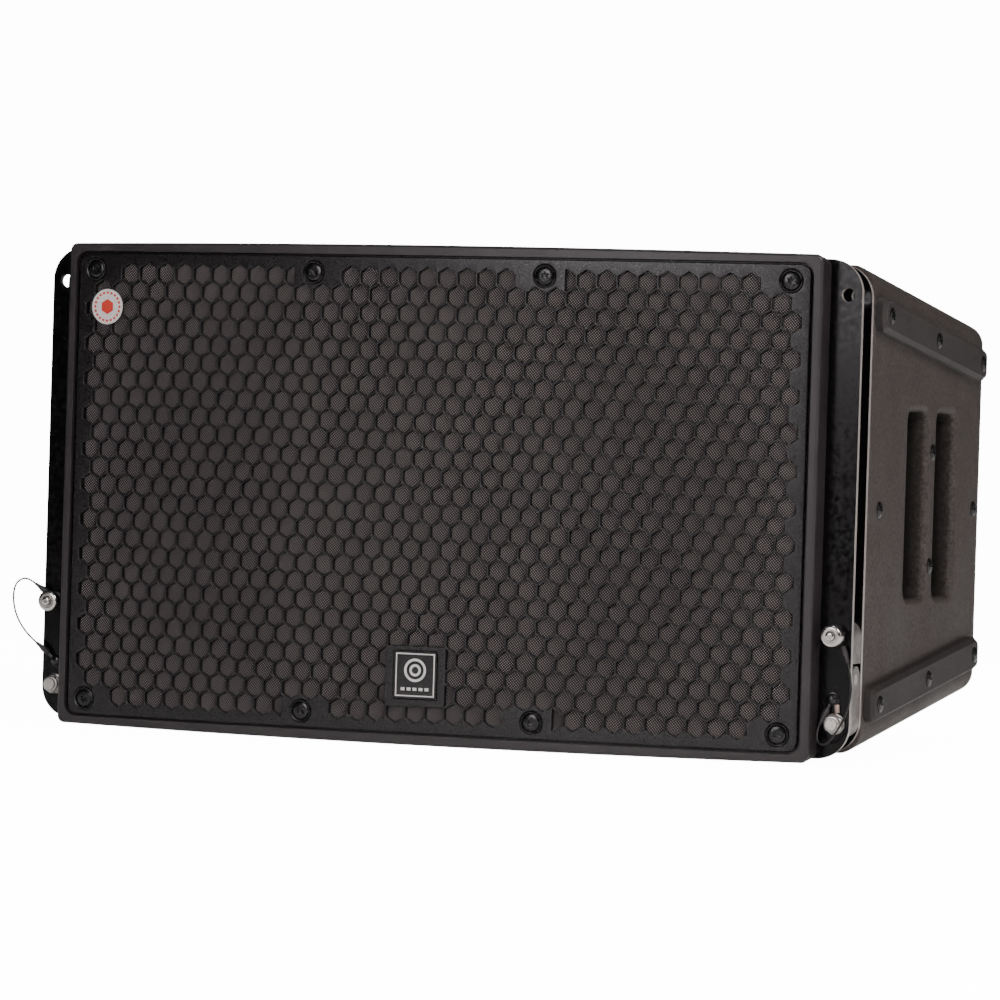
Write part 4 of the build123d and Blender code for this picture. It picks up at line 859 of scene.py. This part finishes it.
WASHER = [(4.1, 0), (7.4, 0), (7.45, 0.3), (7.3, 0.8), (4.1, 0.8)]
NUT = [
    (4.1, 0.8), (6.5, 0.8), (6.5, 1.3), (6.5, 5.2), (6.4, 5.7), (5.9, 6.0), (5.9, 6.9), (5.4, 7.9),
    (4.7, 8.0), (4.1, 7.6), (4.1, 0.8),
]
# How far each ring of the nut's hexagon reaches at most; its corners are rounded off there.
NUT_CORNERS = {1: 1.06, 2: 1.11, 3: 1.11, 4: 1.06}
NYLON_RING = [(4.05, 6.6), (5.0, 6.6), (5.0, 7.6), (4.05, 7.7), (4.05, 6.6)]
THREAD_TURNS = [(3.95 if k % 2 else 3.55, 0.6 * k) for k in range(15)]
THREAD = [(0, 0)] + THREAD_TURNS + [(3.3, 9.2), (2.9, 9.45), (0, 9.5)]


def nut_sides(angle, ring):
    """A hexagon with rounded corners on the nut's rings."""
    if ring not in NUT_CORNERS:
        return 1
    return min(1.0 / cos((angle % (pi / 3)) - pi / 6), NUT_CORNERS[ring])


def make_nuts():
    """Nyloc nuts on flat washers, with the pivot bolts' threaded ends."""
    steel, nylon, thread = Soup(), Soup(), Soup()
    for side in SIDES.values():
        spot = (side * HOLE_X, PLATE_Y, PIVOT_Z)
        turned(steel, spot, OUTWARD, WASHER, 48)
        turned(steel, spot, OUTWARD, NUT, 60, nut_sides)
        turned(nylon, spot, OUTWARD, NYLON_RING, 40)
        turned(thread, spot, OUTWARD, THREAD, 32)
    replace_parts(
        add_piece("nyloc_nuts", steel.vertices, steel.faces, ZINC, "root"), "pivot_nuts"
    )
    add_piece("nyloc_inserts", nylon.vertices, nylon.faces, NYLON, "root")
    add_piece("bolt_threads", thread.vertices, thread.faces, ZINC, "root")


# ---- lanyards ----
WIRE_D = 1.5
ROUTES = {
    "right": [
        (308.2, 17.6, -96.0), (313.4, 13.5, -105.0), (317.3, 10.0, -117.5), (318.2, 8.0, -131.0),
        (314.6, 8.0, -144.5), (308.2, 8.0, -156.0), (301.0, 8.0, -164.8), (294.2, 9.0, -163.5),
        (293.4, 11.5, -155.0), (295.7, 15.5, -146.8), (298.4, 18.8, -140.2),
    ],
    "left": [
        (-308.6, 17.6, -83.6), (-316.0, 14.0, -77.2), (-324.6, 10.0, -71.2), (-332.0, 8.0, -76.2),
        (-333.6, 8.0, -88.0), (-330.4, 8.0, -100.5), (-323.6, 9.0, -111.5), (-315.2, 13.0, -120.5),
        (-307.4, 18.8, -128.0),
    ],
}
ANCHOR_X, ANCHOR_Z = 301.5, -133.0
# Shrink sleeve along its length: a thick part and a tapered mouth.
SLEEVE_RADII = [2.1, 2.3, 2.35, 2.35, 2.35, 2.3, 2.2, 1.9, 1.6, 1.45, 1.35, 1.25, 1.1]
SLEEVE_START, SLEEVE_END = 0.2, 12.5
RING_TERMINAL = [(2.1, 0.05), (5.0, 0.05), (5.0, 1.1), (4.8, 1.2), (2.1, 1.2)]
CRIMP_SHARES, CRIMP_RADII = (0.35, 0.6, 0.8, 1.0), [2.0, 2.1, 1.9, 1.7]
ANCHOR_DOME = [(0, 0.3), (4.0, 1.2), (4.0, 2.6), (3.6, 3.5), (2.8, 4.1), (0, 4.4)]
FERRULE_SHARES, FERRULE_RADII = (0, 0.08, 0.5, 0.92, 1), [1.7, 2.0, 2.05, 2.0, 1.7]


def route_path(name, points):
    """The points of the NURBS line that a lanyard follows, in millimetres in the design frame."""
    curve = bpy.data.curves.new(f"{name}_route", "CURVE")
    curve.dimensions = "3D"
    spline = curve.splines.new("NURBS")
    spline.points.add(len(points) - 1)
    for knot, point in zip(spline.points, points):
        knot.co = (*point, 1)
    spline.order_u = 3
    spline.use_endpoint_u = True
    spline.resolution_u = 12
    holder = bpy.data.objects.new(f"{name}_route", curve)
    bpy.context.collection.objects.link(holder)
    mesh = bpy.data.meshes.new_from_object(holder)
    path = [v.co.copy() for v in mesh.vertices]
    bpy.data.objects.remove(holder)
    bpy.data.meshes.remove(mesh)
    return path


def tube(soup, path, radii, segments=14):
    """A round tube along a path, with a radius at each point, closed at both ends."""
    ring_starts, vertices, faces = [], [], []
    side = None
    for index, point in enumerate(path):
        before, after = path[max(index - 1, 0)], path[min(index + 1, len(path) - 1)]
        way = (after - before).normalized()
        side = (side - way * side.dot(way)).normalized() if side else way.orthogonal().normalized()
        other = way.cross(side)
        ring_starts.append(len(vertices))
        for step in range(segments):
            angle = 2 * pi * step / segments
            vertices.append(point + (side * cos(angle) + other * sin(angle)) * radii[index])
    for low, high in zip(ring_starts, ring_starts[1:]):
        for step in range(segments):
            after = (step + 1) % segments
            faces.append((low + step, low + after, high + after, high + step))
    faces.append(tuple(reversed(range(segments))))
    faces.append(tuple(ring_starts[-1] + step for step in range(segments)))
    soup.add(vertices, faces)


def along(path, start, end, count=12):
    """Points on a path between two distances from its first point."""
    lengths = [0.0]
    for a, b in zip(path, path[1:]):
        lengths.append(lengths[-1] + (b - a).length)
    result = []
    for step in range(count + 1):
        want = start + (end - start) * step / count
        index = max(k for k in range(len(lengths) - 1) if lengths[k] <= want or k == 0)
        share = (want - lengths[index]) / (lengths[index + 1] - lengths[index])
        result.append(path[index].lerp(path[index + 1], min(share, 1.0)))
    return result


def make_lanyards():
    """The pins' wires, each with a sleeve on the pin and one at the anchor."""
    for name in SIDES:
        path = route_path(name, ROUTES[name])
        wire = Soup()
        tube(wire, path, [WIRE_D / 2] * len(path))
        piece = add_piece(f"lanyard_{name}", wire.vertices, wire.faces, WIRE, None)
        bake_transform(piece)
        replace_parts(piece, f"lanyard_wire_{name}")
        for end, body in ((0, f"pin_{name}"), (1, "root")):
            line = path if end == 0 else path[::-1]
            sleeve = Soup()
            tube(sleeve, along(line, SLEEVE_START, SLEEVE_END), SLEEVE_RADII, 20)
            add_piece(f"sleeve_{name}_{end}", sleeve.vertices, sleeve.faces, SLEEVE, body)


def make_anchors():
    """Ring terminals with domed screws, the short crimp that the sleeve leaves from, and a ferrule."""
    for name, side in SIDES.items():
        steel, screw = Soup(), Soup()
        spot = Vector((side * ANCHOR_X, PLATE_Y, ANCHOR_Z))
        last = Vector(ROUTES[name][-1])
        turned(steel, spot, OUTWARD, RING_TERMINAL, 40)
        crimp = [spot + Vector(OUTWARD).lerp(last - spot, share) for share in CRIMP_SHARES]
        tube(steel, crimp, CRIMP_RADII, 20)
        turned(screw, spot, OUTWARD, ANCHOR_DOME, 40)
        if side == 1:
            ferrule = Soup()
            low, high = spot + Vector((3.6, -1.4, -3.6)), spot + Vector((3.6, -1.4, -9.4))
            tube(ferrule, [low.lerp(high, share) for share in FERRULE_SHARES], FERRULE_RADII, 20)
            add_piece("wire_ferrule", ferrule.vertices, ferrule.faces, FERRULE, "root")
        add_piece(f"anchor_screw_{name}", screw.vertices, screw.faces, SCREW, "root")
        piece = add_piece(f"ring_terminal_{name}", steel.vertices, steel.faces, SCREW, "root")
        if side == 1:
            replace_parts(piece, "lanyard_anchors")


# ---- badge and label: a print lies between two depths, in front of the face ----
BADGE_PRINT = (-0.28, -0.05)
FRAME_LINE_X, FRAME_LINE_Z, FRAME_LINE_HALF = 14.55, 15.1, 0.45
RINGS_UP = 3.4
RINGS = ((6.6, 8.4, 64), (2.6, 4.4, 40))
MARK_BARS_DOWN, MARK_BAR_PITCH = 10.2, 4.6
MARK_BAR_HALF = (1.5, 1.1)
LABEL_DISC = (-0.30, -0.02)
LABEL_PRINT = (-0.36, -0.28)


def flat_shape(soup, points, depth_low, depth_high):
    """A flat convex shape that follows the bulged front between two depths."""
    count = len(points)
    front = [on_front(u, z, depth_low) for u, z in points]
    back = [on_front(u, z, depth_high) for u, z in points]
    faces = [tuple(range(count)), tuple(count + k for k in reversed(range(count)))]
    faces += [(k, (k + 1) % count, count + (k + 1) % count, count + k) for k in range(count)]
    soup.add(front + back, faces)


def bar(u, z, half_w, half_h):
    corners = ((-1, -1), (1, -1), (1, 1), (-1, 1))
    return [(u + su * half_w, z + sz * half_h) for su, sz in corners]


def band(soup, u, z, inner, outer, depth_low, depth_high, segments):
    """A round band between two radii."""
    for k in range(segments):
        a, b = 2 * pi * k / segments, 2 * pi * (k + 1) / segments
        corners = ((inner, a), (outer, a), (outer, b), (inner, b))
        quad = [(u + radius * cos(angle), z + radius * sin(angle)) for radius, angle in corners]
        flat_shape(soup, quad, depth_low, depth_high)


def make_badge():
    """A generic mark: a thin square frame round two rings and a level row of bars."""
    marks = Soup()
    front, back = BADGE_PRINT
    for sz in (-1, 1):
        level = BADGE_Z + sz * FRAME_LINE_Z
        flat_shape(marks, bar(0, level, FRAME_LINE_X + FRAME_LINE_HALF, FRAME_LINE_HALF), front, back)
    for sx in (-1, 1):
        upright = bar(sx * FRAME_LINE_X, BADGE_Z, FRAME_LINE_HALF, FRAME_LINE_Z - FRAME_LINE_HALF)
        flat_shape(marks, upright, front, back)
    for inner, outer, segments in RINGS:
        band(marks, 0, BADGE_Z + RINGS_UP, inner, outer, front, back, segments)
    for k in range(5):
        mark = bar((k - 2) * MARK_BAR_PITCH, BADGE_Z - MARK_BARS_DOWN, *MARK_BAR_HALF)
        flat_shape(marks, mark, front, back)
    add_piece("badge_print", marks.vertices, marks.faces, WHITE, "root")


LABEL_X, LABEL_Z, LABEL_R = -257.7, 131.0, 13.0
HEXAGON_R = 5.6
DASHES = 20
DASH_LOW, DASH_HIGH, DASH_HALF = 9.6, 11.2, 0.09


def make_label():
    """A white round label with a plain red hexagon and a ring of dashes."""
    disc, red = Soup(), Soup()
    u = arc_length(LABEL_X)
    flat_shape(disc, circle(u, LABEL_Z, LABEL_R, 72), *LABEL_DISC)
    turns = [pi / 3 * k for k in range(6)]
    corners = [(u + HEXAGON_R * sin(turn), LABEL_Z + HEXAGON_R * cos(turn)) for turn in turns]
    flat_shape(red, corners, *LABEL_PRINT)
    for k in range(DASHES):
        middle = 2 * pi * k / DASHES
        low, high = middle - DASH_HALF, middle + DASH_HALF
        corners = ((DASH_LOW, low), (DASH_HIGH, low), (DASH_HIGH, high), (DASH_LOW, high))
        dash = [(u + radius * cos(turn), LABEL_Z + radius * sin(turn)) for radius, turn in corners]
        flat_shape(red, dash, *LABEL_PRINT)
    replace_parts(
        add_piece("label_disc", disc.vertices, disc.faces, WHITE, "root"), "round_label"
    )
    add_piece("label_print", red.vertices, red.faces, RED, "root")


# ---- the CAD nodes that stay ----
SOFT_EDGED = (
    "rigging_plate_front_left", "rigging_plate_front_right", "rigging_plates_back", "skids",
    "link_arm_left", "link_arm_right", "link_hook_left", "link_hook_right", "heat_sink",
    "rear_rigging_brackets", "amplifier_panel",
)


def dress_nodes():
    """The CAD nodes that stay get their material, and a fine bevel where their edges catch light."""
    for name, look in NODE_LOOKS.items():
        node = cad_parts[name]
        node.data.materials.clear()
        node.data.materials.append(look)
    for name in SOFT_EDGED:
        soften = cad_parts[name].modifiers.new("edge", "BEVEL")
        soften.width = 0.0005
        soften.segments = 2
        soften.limit_method = "ANGLE"
        soften.angle_limit = radians(40)
        soften.harden_normals = False


add_camera()
add_lights()
add_surround()
add_floor()
dress_nodes()
make_cloth(make_grille())
make_grille_screws()
make_side_screws()
make_pins()
make_nuts()
make_lanyards()
make_anchors()
make_badge()
make_label()
